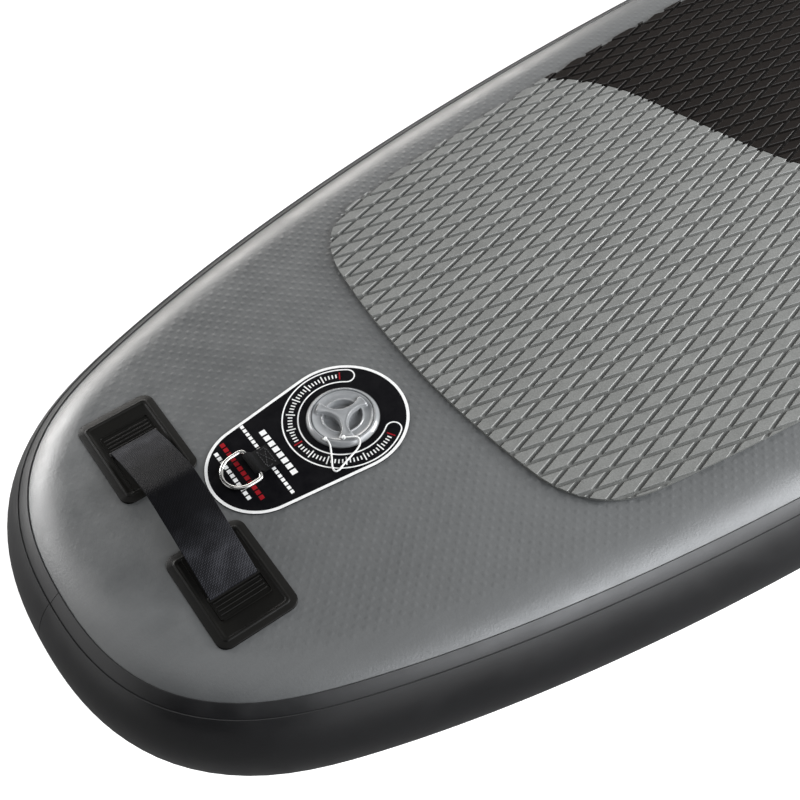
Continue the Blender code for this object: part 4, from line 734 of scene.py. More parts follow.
def carve(piece, shape, material, operation="DIFFERENCE", sharp=38):
    """Cuts a shape from a piece, or keeps only what they share, for good."""
    other = add_piece("carving_shape", shape, material, body=None)
    modifier = piece.modifiers.new("carve", "BOOLEAN")
    modifier.operation = operation
    modifier.object = other
    modifier.solver = "EXACT"
    bpy.context.view_layer.update()
    evaluated = piece.evaluated_get(bpy.context.evaluated_depsgraph_get())
    mesh = bpy.data.meshes.new_from_object(evaluated)
    piece.modifiers.clear()
    piece.data = mesh
    finish_piece(piece, material, sharp)
    bpy.data.objects.remove(other, do_unlink=True)


# The board's outline, rail and rocker


def closed_spline(points):
    """A smooth closed curve through the points, and the chord length at which it meets each."""
    points = np.array(points)
    steps = np.roll(points, -1, axis=0) - points
    chord = np.linalg.norm(steps, axis=1)
    reached = np.concatenate([[0.0], np.cumsum(chord)])
    behind = np.roll(chord, 1)
    slope = steps / chord[:, None]
    system = np.diag(2 * (behind + chord))
    system += np.roll(np.diag(chord), 1, axis=1) + np.roll(np.diag(behind), -1, axis=1)
    bend = np.linalg.solve(system, 6 * (slope - np.roll(slope, 1, axis=0)))

    def point(length):
        length = length % reached[-1]
        i = min(int(np.searchsorted(reached, length, side="right")) - 1, len(points) - 1)
        j = (i + 1) % len(points)
        before, after, size = length - reached[i], reached[i + 1] - length, chord[i]
        curved = (bend[i] * after**3 + bend[j] * before**3) / (6 * size)
        straight_start = (points[i] / size - bend[i] * size / 6) * after
        straight_end = (points[j] / size - bend[j] * size / 6) * before
        return curved + straight_start + straight_end

    return point, reached


def rocker(x):
    """How far the deck has risen at a distance from the tail."""
    share = max(0.0, (x - ROCKER_START) / (BOARD_LENGTH - ROCKER_START))
    return NOSE_RISE * share**2


def outline_stations(count):
    """Points round the port half of the board: rail centre, outward direction and deck height."""
    starboard = [(x, -y) for x, y in reversed(OUTLINE[1:-1])]
    point, reached = closed_spline(list(OUTLINE) + starboard)
    half_length = reached[len(OUTLINE) - 1]
    nudge = half_length * 1e-4
    stations = []
    for i in range(count + 1):
        u = i / count
        eased = (1 - math.cos(math.pi * u)) / 2
        length = half_length * (STATION_EVENNESS * u + (1 - STATION_EVENNESS) * eased)
        along = point(length + nudge) - point(length - nudge)
        along /= np.linalg.norm(along)
        outward = np.array((-along[1], along[0]))
        centre = point(length) - outward * (RAIL_RADIUS + RAIL_BUILD)
        if i in (0, count):
            outward = np.array((-1.0 if i == 0 else 1.0, 0.0))
            centre[1] = 0.0
        stations.append((centre, outward, rocker(centre[0])))
    return stations


CAD_PORT = outline_stations(CAD_STATIONS)
PORT = outline_stations(FINE_STATIONS)
STARBOARD = [(centre * (1, -1), outward * (1, -1), height) for centre, outward, height in PORT]
AROUND = PORT + STARBOARD[-2:0:-1]


def cad_deck_z(x):
    """The deck's height as the CAD's facets have it, for pieces that stay where their nodes are."""
    return float(np.interp(x, [s[0][0] for s in CAD_PORT], [s[2] for s in CAD_PORT]))


def rail_point(station, radius, angle):
    centre, outward, height = station
    reach = radius * math.cos(math.radians(angle))
    level = radius * math.sin(math.radians(angle)) - RAIL_RADIUS + height
    return Vector((centre[0] + outward[0] * reach, centre[1] + outward[1] * reach, level))


def skin_shape(side):
    """One skin as a closed shell: flat, and rolled over at its edge."""
    shape = Shape()
    angles = [side * angle for angle in np.linspace(90.0, GUARD_EDGE, 17)]
    edges = []
    for radius in (RAIL_RADIUS, RAIL_RADIUS - SKIN):
        rows = [[rail_point(station, radius, angle) for angle in angles] for station in AROUND]
        first, _ = shape.grid(rows, wrap_rows=True)
        edges.append(first)
        width = len(angles)
        spine = []
        for i in range(FINE_STATIONS + 1):
            port = first + i * width
            if i in (0, FINE_STATIONS):
                spine.append([port] * (DECK_COLUMNS + 1))
                continue
            starboard = first + (len(AROUND) - i) * width
            start, end = shape.points[port], shape.points[starboard]
            row = [port]
            for k in range(1, DECK_COLUMNS):
                row.append(len(shape.points))
                shape.points.append(start.lerp(end, k / DECK_COLUMNS))
            spine.append(row + [starboard])
        for near, far in zip(spine, spine[1:]):
            for k in range(DECK_COLUMNS):
                face = tuple(dict.fromkeys((near[k], near[k + 1], far[k + 1], far[k])))
                shape.faces.append(face)
    count, last = len(AROUND), width - 1
    for i in range(count):
        j = (i + 1) % count
        outer, inner = edges
        shape.faces.append((
            outer + i * width + last, outer + j * width + last,
            inner + j * width + last, inner + i * width + last,
        ))
    return shape


def strip_shape(stations, inner, edge, side):
    """A rail strip from tail to nose on one side, with softened edges."""
    shape = Shape()
    outer = inner + RAIL_STRIP
    loops = []
    for i, (centre, outward, height) in enumerate(stations):
        if i in (0, len(stations) - 1):
            centre = centre + np.array((0.0, side * BUTT_SEAM))
        station = (centre, outward, height)
        angles = np.linspace(edge - EDGE_SOFTNESS, EDGE_SOFTNESS - edge, 33)
        loop = [rail_point(station, outer - RAIL_STRIP * 0.4, edge)]
        loop += [rail_point(station, outer, angle) for angle in angles]
        loop += [rail_point(station, outer - RAIL_STRIP * 0.4, -edge)]
        loop += [rail_point(station, inner, angle) for angle in np.linspace(-edge, edge, 17)]
        loops.append(loop)
    shape.loft(loops)
    return shape


def make_hull():
    deck = add_piece("deck", skin_shape(1), "deck", stands_for=["deck_skin"])
    carve(deck, block(circle(DECK_HOLE_RADIUS, 72, (VALVE_X, 0.0)), -0.004, 0.004), "deck")
    add_piece("hull", skin_shape(-1), "hull", stands_for=["hull_skin"])
    band_inner = RAIL_RADIUS + SEAT_GAP
    guard_inner = band_inner + RAIL_STRIP + SEAT_GAP
    for name, side, stations in (("port", 1, PORT), ("starboard", -1, STARBOARD)):
        for layer, node, inner, edge in (
            ("rail_band", "rail_band", band_inner, BAND_EDGE),
            ("rail_guard", "rail_guard_strip", guard_inner, GUARD_EDGE),
        ):
            shape = strip_shape(stations, inner, edge, side)
            add_piece(f"{layer}_{name}_skin", shape, "rail", stands_for=[f"{node}_{name}"])


# Traction pad


def pad_half_width(x):
    rail = [(s[0] + s[1] * (RAIL_RADIUS + RAIL_BUILD - PAD_MARGIN)) for s in PORT]
    return float(np.interp(x, [p[0] for p in rail], [p[1] for p in rail]))


def pad_end_x(end, bow, y):
    """The pad's end edge, which lies further forward by the bow where it would meet the sides."""
    return end + bow * (y / pad_half_width(end)) ** 2


def pad_corner(end, bow, direction):
    """Port corner of the pad, a curve that leaves its end edge and its side in their own directions."""
    side_x = end + direction * PAD_CORNER_LENGTH
    side = Vector((side_x, pad_half_width(side_x)))
    tip_y = side.y - PAD_CORNER_WIDTH
    tip = Vector((pad_end_x(end, bow, tip_y), tip_y))
    step = PAD_CORNER_WIDTH / 10
    side_slope = (pad_half_width(side_x + step) - side.y) / step
    tip_slope = (pad_end_x(end, bow, tip_y + step) - tip.x) / step
    meet_y = side.y + side_slope * (tip.x - side.x - tip_slope * tip.y)
    meet_y /= 1 - side_slope * tip_slope
    meet = Vector((tip.x + tip_slope * (meet_y - tip.y), meet_y))
    points = []
    for share in np.linspace(0.0, 1.0, 21):
        points.append(tuple(tip.lerp(meet, share).lerp(meet.lerp(side, share), share)))
    return points


def pad_end(end, bow, start_y):
    """The end edge between its corners, from the one at start_y to the other."""
    return [(pad_end_x(end, bow, y), y) for y in np.linspace(start_y, -start_y, 32)[1:-1]]


def pad_side(start, end):
    count = max(1, round(abs(end - start) / 0.020))
    return [(x, pad_half_width(x)) for x in np.linspace(start, end, count + 1)]


def pad_outlines():
    rear_corner = pad_corner(PAD_REAR, PAD_REAR_BOW, 1)
    front_corner = pad_corner(PAD_FRONT, -PAD_FRONT_BOW, -1)
    rear_end = pad_end(PAD_REAR, PAD_REAR_BOW, -rear_corner[0][1])
    front_end = pad_end(PAD_FRONT, -PAD_FRONT_BOW, front_corner[0][1])
    port_end = (PAD_COLOUR_PORT, pad_half_width(PAD_COLOUR_PORT), 0.0)
    starboard_end = (PAD_COLOUR_STARBOARD, -pad_half_width(PAD_COLOUR_STARBOARD), 0.0)
    line = smooth_path([port_end, *[(x, y, 0.0) for x, y in PAD_COLOUR_LINE], starboard_end], 6)
    line = [(point.x, point.y) for point in line]

    port_side = pad_side(rear_corner[-1][0], PAD_COLOUR_PORT)
    starboard_side = [(x, -y) for x, y in pad_side(rear_corner[-1][0], PAD_COLOUR_STARBOARD)]
    rear = [(x, -y) for x, y in reversed(rear_corner)] + rear_end + rear_corner
    rear += port_side[1:-1] + line + list(reversed(starboard_side[1:-1]))

    line = [(x + PAD_JOINT, y) for x, y in line]
    port_side = pad_side(line[0][0], front_corner[-1][0])
    starboard_side = [(x, -y) for x, y in pad_side(line[-1][0], front_corner[-1][0])]
    front = list(reversed(line)) + port_side[1:-1] + list(reversed(front_corner)) + front_end
    front += [(x, -y) for x, y in front_corner] + list(reversed(starboard_side[1:-1]))
    return rear[::-1], front[::-1]


def tile_slab(outline):
    """A closed slab of raised diamond tiles with channels between them, wider than an outline."""
    half_long, half_wide = TILE_LONG / 2, TILE_WIDE / 2
    reach = half_long * half_wide / math.hypot(half_long, half_wide)
    low, high = np.array(outline).min(axis=0), np.array(outline).max(axis=0)
    shape = Shape()
    nodes = {}

    def node(i, j):
        if (i, j) not in nodes:
            nodes[i, j] = len(shape.points)
            for z in (SEAT_GAP + PAD_THICKNESS - GROOVE_DEPTH, SEAT_GAP):
                shape.points.append(Vector((i * half_long, j * half_wide, z)))
        return nodes[i, j]

    rings = (
        (GROOVE_FLOOR, PAD_THICKNESS - GROOVE_DEPTH),
        (GROOVE_TOP, PAD_THICKNESS - TILE_BEVEL),
        (GROOVE_TOP + TILE_BEVEL, PAD_THICKNESS),
    )
    first_i, last_i = int(low[0] / half_long) - 2, int(high[0] / half_long) + 3
    first_j, last_j = int(low[1] / half_wide) - 3, int(high[1] / half_wide) + 3
    tiles = {
        (i, j) for i in range(first_i, last_i) for j in range(first_j, last_j) if (i + j) % 2 == 0
    }
    for i, j in sorted(tiles):
        corners = [node(i + 1, j), node(i, j + 1), node(i - 1, j), node(i, j - 1)]
        previous = corners
        middle = Vector((i * half_long, j * half_wide, 0.0))
        for width, height in rings:
            scale = (reach - width) / reach
            ring = []
            for corner in corners:
                point = middle.lerp(shape.points[corner], scale)
                ring.append(len(shape.points))
                shape.points.append(Vector((point.x, point.y, SEAT_GAP + height)))
            for k in range(4):
                shape.faces.append((previous[k], previous[(k + 1) % 4], ring[(k + 1) % 4], ring[k]))
            previous = ring
        shape.faces.append(tuple(previous))
        shape.faces.append(tuple(corner + 1 for corner in reversed(corners)))
        for k, neighbour in enumerate(((i + 1, j + 1), (i - 1, j + 1), (i - 1, j - 1), (i + 1, j - 1))):
            if neighbour not in tiles:
                a, b = corners[k], corners[(k + 1) % 4]
                shape.faces.append((a, b, b + 1, a + 1))
    return shape


def make_pad():
    rear, front = pad_outlines()
    top = SEAT_GAP + PAD_THICKNESS
    for name, outline, material, pressed, slot in (
        ("rear", rear, "grey_foam", "grey_groove_shaded", "foam_grey"),
        ("front", front, "black_foam", "black_groove_shaded", "foam_black"),
    ):
        pad = add_piece(f"pad_{name}", tile_slab(outline), material,
                        stands_for=[f"traction_pad_{name}"], sharp=20)
        keep = Shape()
        keep.levels([
            (outline, -0.002), (outline, top - PAD_RIM_BEVEL),
            (inset(outline, -1.5 * PAD_RIM_BEVEL), top + PAD_RIM_BEVEL / 2),
        ])
        carve(pad, keep, material, "INTERSECT", sharp=20)
        if name == "front":
            opening = block(rounded_rectangle(*PAD_OPENING, (CENTRE_X, 0.0)), -0.002, 0.010)
            carve(pad, opening, material, sharp=20)
        # The groove faces take the groove foam, whose darker colour is painted shade in the grooves
        pad.data.materials.append(MATERIALS[pressed])
        brushed = BOARD_ORIGIN.z + top - 0.0001
        for polygon in pad.data.polygons:
            if polygon.center.z < brushed or polygon.normal.z < 0.99:
                polygon.material_index = len(pad.data.materials) - 1
        for vertex in pad.data.vertices:
            vertex.co.z += rocker(vertex.co.x - BOARD_ORIGIN.x)


# Valve


def at_valve(shape):
    return shape.moved(Matrix.Translation((VALVE_X, 0.0, 0.0)))


def make_valve_body():
    """A flanged tube with a spoked guide for the pin at its foot."""
    low = VALVE_LOW
    shape = Shape()
    shape.turned([
        (0.0135, low), (0.0245, low), (0.0245, 0.0018), (0.0313, 0.0018), (0.0313, 0.0003),
        (0.0358, 0.0003), (0.0360, 0.0005), (0.0360, 0.0018), (0.03585, 0.0023), (0.0350, 0.0033),
        (0.0338, 0.0045), (0.0329, 0.0053), (0.0324, 0.0056), (0.0317, 0.0056), (0.0313, 0.0053),
        (0.0312, 0.0048), (0.0312, 0.0022), (0.0215, 0.0022),
        (0.0215, low + 0.003), (0.0135, low + 0.003),
    ], closed=True, steps=96)
    shape.turned([(0.0034, low), (0.0055, low), (0.0055, low + 0.009), (0.0034, low + 0.009)], 24, True)
    for number in range(3):
        start = len(shape.points)
        spoke = rounded_rectangle(0.0125, 0.003, 0.0005, (0.0110, 0.0))
        shape.levels([(spoke, low + 0.0003), (spoke, low + 0.0015)])
        shape.moved(Matrix.Rotation(math.radians(120 * number + 60), 4, "Z"), start)
    add_piece("valve_flange", at_valve(shape), "valve", stands_for=["valve_body"])


def grip_outline(reach, grow=0.0):
    """Three arms left between three round scoops, as far from the axis as they reach."""

    def angle_between(side, other, opposite):
        return math.degrees(math.acos((side**2 + other**2 - opposite**2) / (2 * side * other)))

    scoop_radius = GRIP_SCOOP_RADIUS - grow
    reach += grow
    tip = 60 - angle_between(reach, GRIP_SCOOP_CENTRE, scoop_radius)
    tip -= math.degrees(GRIP_TIP_CORNER / reach)
    scoop = angle_between(GRIP_SCOOP_CENTRE, scoop_radius, reach - GRIP_TIP_CORNER)
    outline = []
    for number in range(3):
        arm = GRIP_FIRST_ARM + 120 * number
        outline += arc((0, 0), reach, arm - tip, arm + tip, 12)
        away = math.radians(arm + 60)
        centre = (GRIP_SCOOP_CENTRE * math.cos(away), GRIP_SCOOP_CENTRE * math.sin(away))
        outline += arc(centre, scoop_radius, arm + 240 + scoop, arm + 240 - scoop, 30)
    return outline


def make_valve_cap():
    """A dished cap with a raised ring round its well, and the grip that stands out of it."""
    shape = Shape()
    shape.turned(CAP_PROFILE, steps=120)
    for reach, levels in ((GRIP_REACH, GRIP_LEVELS), (STEM_REACH, STEM_LEVELS)):
        shape.levels([(grip_outline(reach, grow), height) for grow, height in levels])
    add_piece("valve_cap_grip", at_valve(shape), "valve", "cap", ["valve_cap"])


def make_spring():
    """The valve's spring, a coil with its last turns closed, drawn at one length on a mesh of its own,
    though the real one shortens as the pin goes down.
    """
    low, high = SPRING_SPAN
    shape = Shape()
    path = []
    for i in range(SPRING_TURNS * 24 + 1):
        share = i / (SPRING_TURNS * 24)
        eased = min(1.0, max(0.0, (share - 0.12) / 0.76))
        angle = 2 * math.pi * SPRING_TURNS * share
        x, y = VALVE_X + SPRING_RADIUS * math.cos(angle), SPRING_RADIUS * math.sin(angle)
        path.append((x, y, low + SPRING_WIRE + (high - low - 2 * SPRING_WIRE) * (0.9 * eased + 0.1 * share)))
    shape.loft(tube_loops(path, SPRING_WIRE, 10))
    spring = add_piece("valve_spring_coil", shape, "steel", stands_for=["valve_spring"])
    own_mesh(spring)


def make_tether():
    """The cap's string: twisted white cord with a knot at each end."""
    route = smooth_path([(VALVE_X + x, y, z) for x, y, z in TETHER_ROUTE], 14)
    shape = Shape()
    shape.loft(tube_loops(route, TETHER_RADIUS, 15, strands=3, lay=0.0060))
    cord = add_piece("cap_string", shape, "string", body=None)
    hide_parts("cap_tether")
    for name, body, at in (("cap", "cap", route[0]), ("rim", "board", route[-1])):
        knot = Shape()
        loop = []
        for i in range(60):
            t = 2 * math.pi * i / 60
            x = math.sin(t) + 2 * math.sin(2 * t)
            y = math.cos(t) - 2 * math.cos(2 * t)
            loop.append(at + Vector((x, y, -math.sin(3 * t))) * KNOT_SIZE)
        knot.loft(tube_loops(loop, TETHER_RADIUS * 0.82, 9, closed=True), closed=True)
        add_piece(f"string_knot_{name}", knot, "string", body)
    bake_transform(cord)


# Label


def bar(shape, start, end, width, low, high):
    """A flat rule between two points."""
    start, end = Vector((*start, 0.0)), Vector((*end, 0.0))
    along = (end - start).normalized()
    side = Vector((-along.y, along.x, 0.0)) * width / 2
    outline = [corner.xy for corner in (start - side, end - side, end + side, start + side)]
    shape.levels([(outline, low), (outline, high)])


def dial_track(half_width):
    """The outline of a round-ended track along the valve's dial."""
    start, end = DIAL_GAP, 360 - DIAL_GAP

    def around_end(angle, first):
        turn = math.radians(angle)
        centre = (DIAL_RADIUS * math.cos(turn), DIAL_RADIUS * math.sin(turn))
        return arc(centre, half_width, first, first + 180, 12)[1:-1]

    points = arc((0, 0), DIAL_RADIUS + half_width, start, end, 90) + around_end(end, end)
    points += arc((0, 0), DIAL_RADIUS - half_width, end, start, 90) + around_end(start, start - 180)
    return [(VALVE_X + x, y) for x, y in points]


def make_label():
    lean = math.degrees(math.asin((LABEL_FRONT_RADIUS - LABEL_REAR_RADIUS) / (VALVE_X - LABEL_REAR_X)))
    outline = arc((VALVE_X, 0), LABEL_FRONT_RADIUS, -90 - lean, 90 + lean, 60)
    outline += arc((LABEL_REAR_X, 0), LABEL_REAR_RADIUS, 90 + lean, 270 - lean, 60)
    shape = Shape()
    top = SEAT_GAP + LABEL_THICKNESS
    shape.levels([(outline, SEAT_GAP), (outline, top - 0.0003), (inset(outline, 0.0003), top)])
    label = add_piece("label", shape, "label", stands_for=["label_plate"])
    carve(label, block(circle(LABEL_HOLE_RADIUS, 96, (VALVE_X, 0.0)), -0.001, 0.003), "label")

    low, high = top - 0.0002, top + 0.00008
    white, red = Shape(), Shape()
    for outer, inner in (
        (inset(outline, 0.0004), inset(outline, 0.0034)), (dial_track(0.0084), dial_track(0.0070)),
    ):
        white.levels([(outer, low), (outer, high), (inner, high), (inner, low)], closed=True)
    for number in range(DIAL_TICKS + 1):
        angle = math.radians(60 + 240 / DIAL_TICKS * number)
        inner, outer = (0.0494, 0.0540) if number % 5 else (0.0472, 0.0562)
        start = (VALVE_X + inner * math.cos(angle), inner * math.sin(angle))
        end = (VALVE_X + outer * math.cos(angle), outer * math.sin(angle))
        bar(white if number % (DIAL_TICKS // 2) else red, start, end, 0.0013, low, high)
    for shape, rules in ((white, WHITE_RULES), (red, RED_RULES)):
        for x, start_y, end_y, width, pitch in rules:
            for number in range(int((start_y - end_y) / pitch)):
                y = start_y - pitch * number
                bar(shape, (x, y), (x, y - pitch * 0.72), width, low, high)
    add_piece("label_rules_white", white, "white")
    add_piece("label_rules_red", red, "red")


# Rings and loops


def ring_path(tilt):
    arc_x = RING_REACH - RING_HALF_WIDTH
    corner = RING_HALF_WIDTH - RING_CORNER
    flat = arc((RING_CORNER, corner), RING_CORNER, 180, 90, 6)
    flat += arc((arc_x, 0), RING_HALF_WIDTH, 90, -90, 28)
    flat += arc((RING_CORNER, -corner), RING_CORNER, -90, -180, 6)
    for share in (0.25, 0.5, 0.75):
        flat.append((0.0, -corner + 2 * corner * share))
    lean = math.radians(tilt)
    return [Vector((-x * math.cos(lean), y, x * math.sin(lean) + BAR_HEIGHT)) for x, y in flat]


def seat_on_deck(x, y, half_length, yaw=0.0, height=0.0):
    """A frame on the deck at a spot, level with the CAD's deck over a short length."""
    rear, front = cad_deck_z(x - half_length), cad_deck_z(x + half_length)
    pitch = Matrix.Rotation(-math.atan2(front - rear, 2 * half_length), 4, "Y")
    spot = Vector((x, y, (rear + front) / 2)) + pitch @ Vector((0, 0, height))
    return Matrix.Translation(spot) @ pitch @ Matrix.Rotation(yaw, 4, "Z")


def make_ring(name, seat, tilt, body="board"):
    shape = Shape()
    path = [seat @ point for point in ring_path(tilt)]
    shape.loft(tube_loops(path, RING_WIRE, 14, closed=True), closed=True)
    if name in ("leash_ring", "tow_ring"):
        body = name
    add_piece(f"{name}_wire", shape, "steel", body, [name])


def make_loop(name, seat):
    """Folded tape round a ring's bar, stuck and stitched down ahead of it."""
    radius = RING_WIRE + 0.0004 + LOOP_TAPE / 2
    low = BAR_HEIGHT - radius
    path = [Vector((x, 0, low)) for x in np.linspace(LOOP_LENGTH, 0.0, 8)]
    path += [Vector((x, 0, BAR_HEIGHT + z)) for x, z in arc((0, 0), radius, 262, 50, 18)]
    second = low + LOOP_TAPE + 0.0001
    path += smooth_path([
        path[-1] + Vector((0.0012, 0, -0.0012)), (0.0052, 0, second + 0.0008), (0.0085, 0, second),
        (LOOP_LENGTH - 0.0006, 0, second),
    ], 4)
    shape = Shape()
    shape.loft(tape_loops(path, (0, 1, 0), LOOP_TAPE, LOOP_WIDTH))
    thread = Shape()
    top = second + LOOP_TAPE / 2 + 0.0001
    near, far, side = 0.0100, LOOP_LENGTH - 0.0025, LOOP_WIDTH / 2 - 0.0025
    corners = [(near, -side, top), (far, -side, top), (far, side, top), (near, side, top)]
    for start, end in ((0, 1), (1, 2), (2, 3), (3, 0), (0, 2), (1, 3)):
        stitches(thread, corners[start], corners[end], (0, 0, 1))
    add_piece(f"{name}_tape", shape.moved(seat), "tape", stands_for=[name])
    add_piece(f"{name}_stitching", thread.moved(seat), "thread")


def make_patch(name, seat, radius):
    """A round patch with a welded rim, on a seat; returns the seat on top of it."""
    low, high = SEAT_GAP, SEAT_GAP + PATCH_THICKNESS
    shape = Shape()
    shape.turned([
        (0.0001, low), (radius, low), (radius, high - 0.0006), (radius - 0.0002, high - 0.0002),
        (radius - 0.0007, high), (radius - 0.0045, high), (radius - 0.0049, high - 0.0003),
        (radius - 0.0055, high - 0.0003), (radius - 0.0059, high), (0.0001, high),
    ])
    add_piece(f"{name}_disc", shape.moved(seat), "patch", stands_for=[name])
    return seat @ Matrix.Translation((0, 0, SEAT_GAP + PATCH_THICKNESS))


def make_leash_ring():
    seat = Matrix.Translation((*LEASH_RING_SPOT, SEAT_GAP + LABEL_THICKNESS))
    make_loop("leash_ring_loop", seat)
    make_ring("leash_ring", seat, REST_TILT)


def make_tow_ring():
    seat = seat_on_deck(TOW_RING_X, 0.0, TOW_PATCH_RADIUS)
    raised = make_patch("tow_ring_patch", seat, TOW_PATCH_RADIUS)
    make_loop("tow_ring_loop", raised)
    make_ring("tow_ring", raised, REST_TILT)


def make_bungee():
    """Four rings on patches, and the elastic that crosses between them as one closed loop."""
    corners = {
        "rear_port": BUNGEE_REAR, "front_starboard": (BUNGEE_FRONT[0], -BUNGEE_FRONT[1]),
        "front_port": BUNGEE_FRONT, "rear_starboard": (BUNGEE_REAR[0], -BUNGEE_REAR[1]),
    }
    spots = [Vector(spot) for spot in corners.values()]
    lift = math.radians(BUNGEE_LIFT)
    arc_x, arc_z = -RING_REACH * math.cos(lift), BAR_HEIGHT + RING_REACH * math.sin(lift)
    turns = []
    for number, name in enumerate(corners):
        x, y = corners[name]
        pull = (spots[number ^ 1] - spots[number]).normalized() + Vector((0.0, -math.copysign(1.0, y)))
        seat = seat_on_deck(x, y, PATCH_RADIUS, math.atan2(-pull.y, -pull.x))
        raised = make_patch(f"bungee_patch_{name}", seat, PATCH_RADIUS)
        make_loop(f"bungee_ring_loop_{name}", raised)
        make_ring(f"bungee_ring_{name}", raised, BUNGEE_LIFT)
        bend = arc((0, 0), BUNGEE_WRAP, -90, 90, 4)
        turns.append([raised @ Vector((arc_x + a, 0, arc_z + b)) for a, b in bend])
    path = []
    for first, bow in ((0, BUNGEE_CROSSING), (2, -BUNGEE_CROSSING)):
        start, end = turns[first], turns[first + 1][::-1]
        path += start
        for share in (0.25, 0.5, 0.75):
            point = start[-1].lerp(end[0], share)
            point.z += bow * math.sin(math.pi * share) ** 2
            path.append(point)
        path += end
        path.append(end[-1].lerp(turns[(first + 2) % 4][0], 0.5))
    shape = Shape()
    route = smooth_path(path, 24, closed=True)
    shape.loft(tube_loops(route, BUNGEE_RADIUS, 18, closed=True, strands=9, lay=0.022), closed=True)
    add_piece("bungee_elastic", shape, "elastic", stands_for=["bungee_cord"], sharp=80)


# Carry handles


def strap_point(y):
    return Vector((0.0, y, STRAP_START + STRAP_RISE * (1 - abs(y / STRAP_END_Y) ** STRAP_SHAPE)))


def make_end_handle(name, x):
    """A tail or nose handle: a plate at each side, and a strap that arches between their slots."""
    seat = seat_on_deck(x, 0.0, PLATE_LENGTH / 2)
    for side_name, side in (("port", 1), ("starboard", -1)):
        make_handle_plate(f"{name}_plate_{side_name}", seat, side)
    path = [Vector((0, STRAP_END_Y, z)) for z in STRAP_ENDS]
    path += [strap_point(STRAP_END_Y * math.cos(math.pi * i / 72)) for i in range(73)]
    path += [Vector((0, -STRAP_END_Y, z)) for z in reversed(STRAP_ENDS)]
    shape = Shape()
    loops = tape_loops(path, (1, 0, 0), STRAP_THICKNESS, STRAP_WIDTH)
    for loop in loops[2:-2]:
        middle = sum(loop, Vector()) / len(loop)
        lean = math.cos(math.pi * middle.y / STRAP_END_Y / 2)
        for k, point in enumerate(loop):
            loop[k] = point + Vector((0, 0, -STRAP_LEAN * point.x * lean))
    shape.loft(loops)
    add_piece(f"{name}_webbing", shape.moved(seat), "webbing", stands_for=[f"{name}_strap"])


def make_handle_plate(name, seat, side):
    """A moulded plate: rounded border, raised rib, and a framed recess with ridges for the strap."""
    shape = Shape()
    middle = (0.0, side * (PLATE_INNER_Y + PLATE_WIDTH / 2))
    shape.levels(stepped(PLATE_LENGTH, PLATE_WIDTH, PLATE_CORNER, PLATE_STEPS, middle))
    plate = add_piece(f"{name}_moulding", shape.moved(seat), "moulded", stands_for=[name])
    half_x, half_y = STRAP_WIDTH / 2 + 0.0004, STRAP_THICKNESS / 2 + 0.0004
    end = (0.0, side * STRAP_END_Y)
    slot = rounded_rectangle(2 * half_x, 2 * half_y, 0.0006, end)
    carve(plate, block(slot, -0.002, 0.008).moved(seat), "moulded")

    trim = Shape()
    middle = (0.0, side * RECESS_Y)
    trim.levels([
        (rounded_rectangle(0.0520, 0.0760, 0.0035, middle), 0.0018),
        (rounded_rectangle(0.0507, 0.0747, 0.0028, middle), 0.0031),
        (rounded_rectangle(0.0494, 0.0734, 0.0022, middle), 0.0018),
    ], closed=True)
    for number in range(4):
        y = side * (RIB_START_Y + RIB_PITCH * number)
        path = [(-half_x + 0.0012, y, 0.0020), (half_x - 0.0012, y, 0.0020)]
        trim.loft(tube_loops(path, RIB_RADIUS, 10))
    lip = rounded_rectangle(2 * half_x + 0.0032, 2 * half_y + 0.0032, 0.0016, end)
    trim.levels([(lip, 0.0018), (inset(lip, 0.0004), 0.0032), (slot, 0.0036), (slot, 0.0010)], closed=True)
    add_piece(f"{name}_frame", trim.moved(seat), "moulded")


def make_centre_patch(name, x):
    """A moulded patch with a rounded edge, a pressed line inside it, and a slot for the strap."""
    top = SEAT_GAP + CENTRE_PATCH_THICKNESS
    steps = [(0.0, SEAT_GAP)]
    for angle in (0, 30, 60, 90):
        turn = math.radians(angle)
        inwards, down = CENTRE_PATCH_EDGE * (1 - math.cos(turn)), CENTRE_PATCH_EDGE * (1 - math.sin(turn))
        steps.append((inwards, top - down))
    steps += [(0.0060, top), (0.0064, top - 0.0004), (0.0072, top - 0.0004), (0.0076, top)]
    shape = Shape()
    shape.levels(stepped(*CENTRE_PATCH_SIZE, steps, (x, 0.0)))
    patch = add_piece(f"centre_patch_{name}", shape, "moulded",
                      stands_for=[f"centre_handle_patch_{name}"])
    slot = rounded_rectangle(0.0030, CENTRE_STRAP_WIDTH + 0.0008, 0.0006, (x, 0.0))
    carve(patch, block(slot, -0.002, 0.006), "moulded")


def grip_end(share):
    """How much smaller the grip sleeve is towards its rounded ends."""
    return 1.0 - 0.20 * max(0.0, (abs(share) - 0.88) / 0.12) ** 2


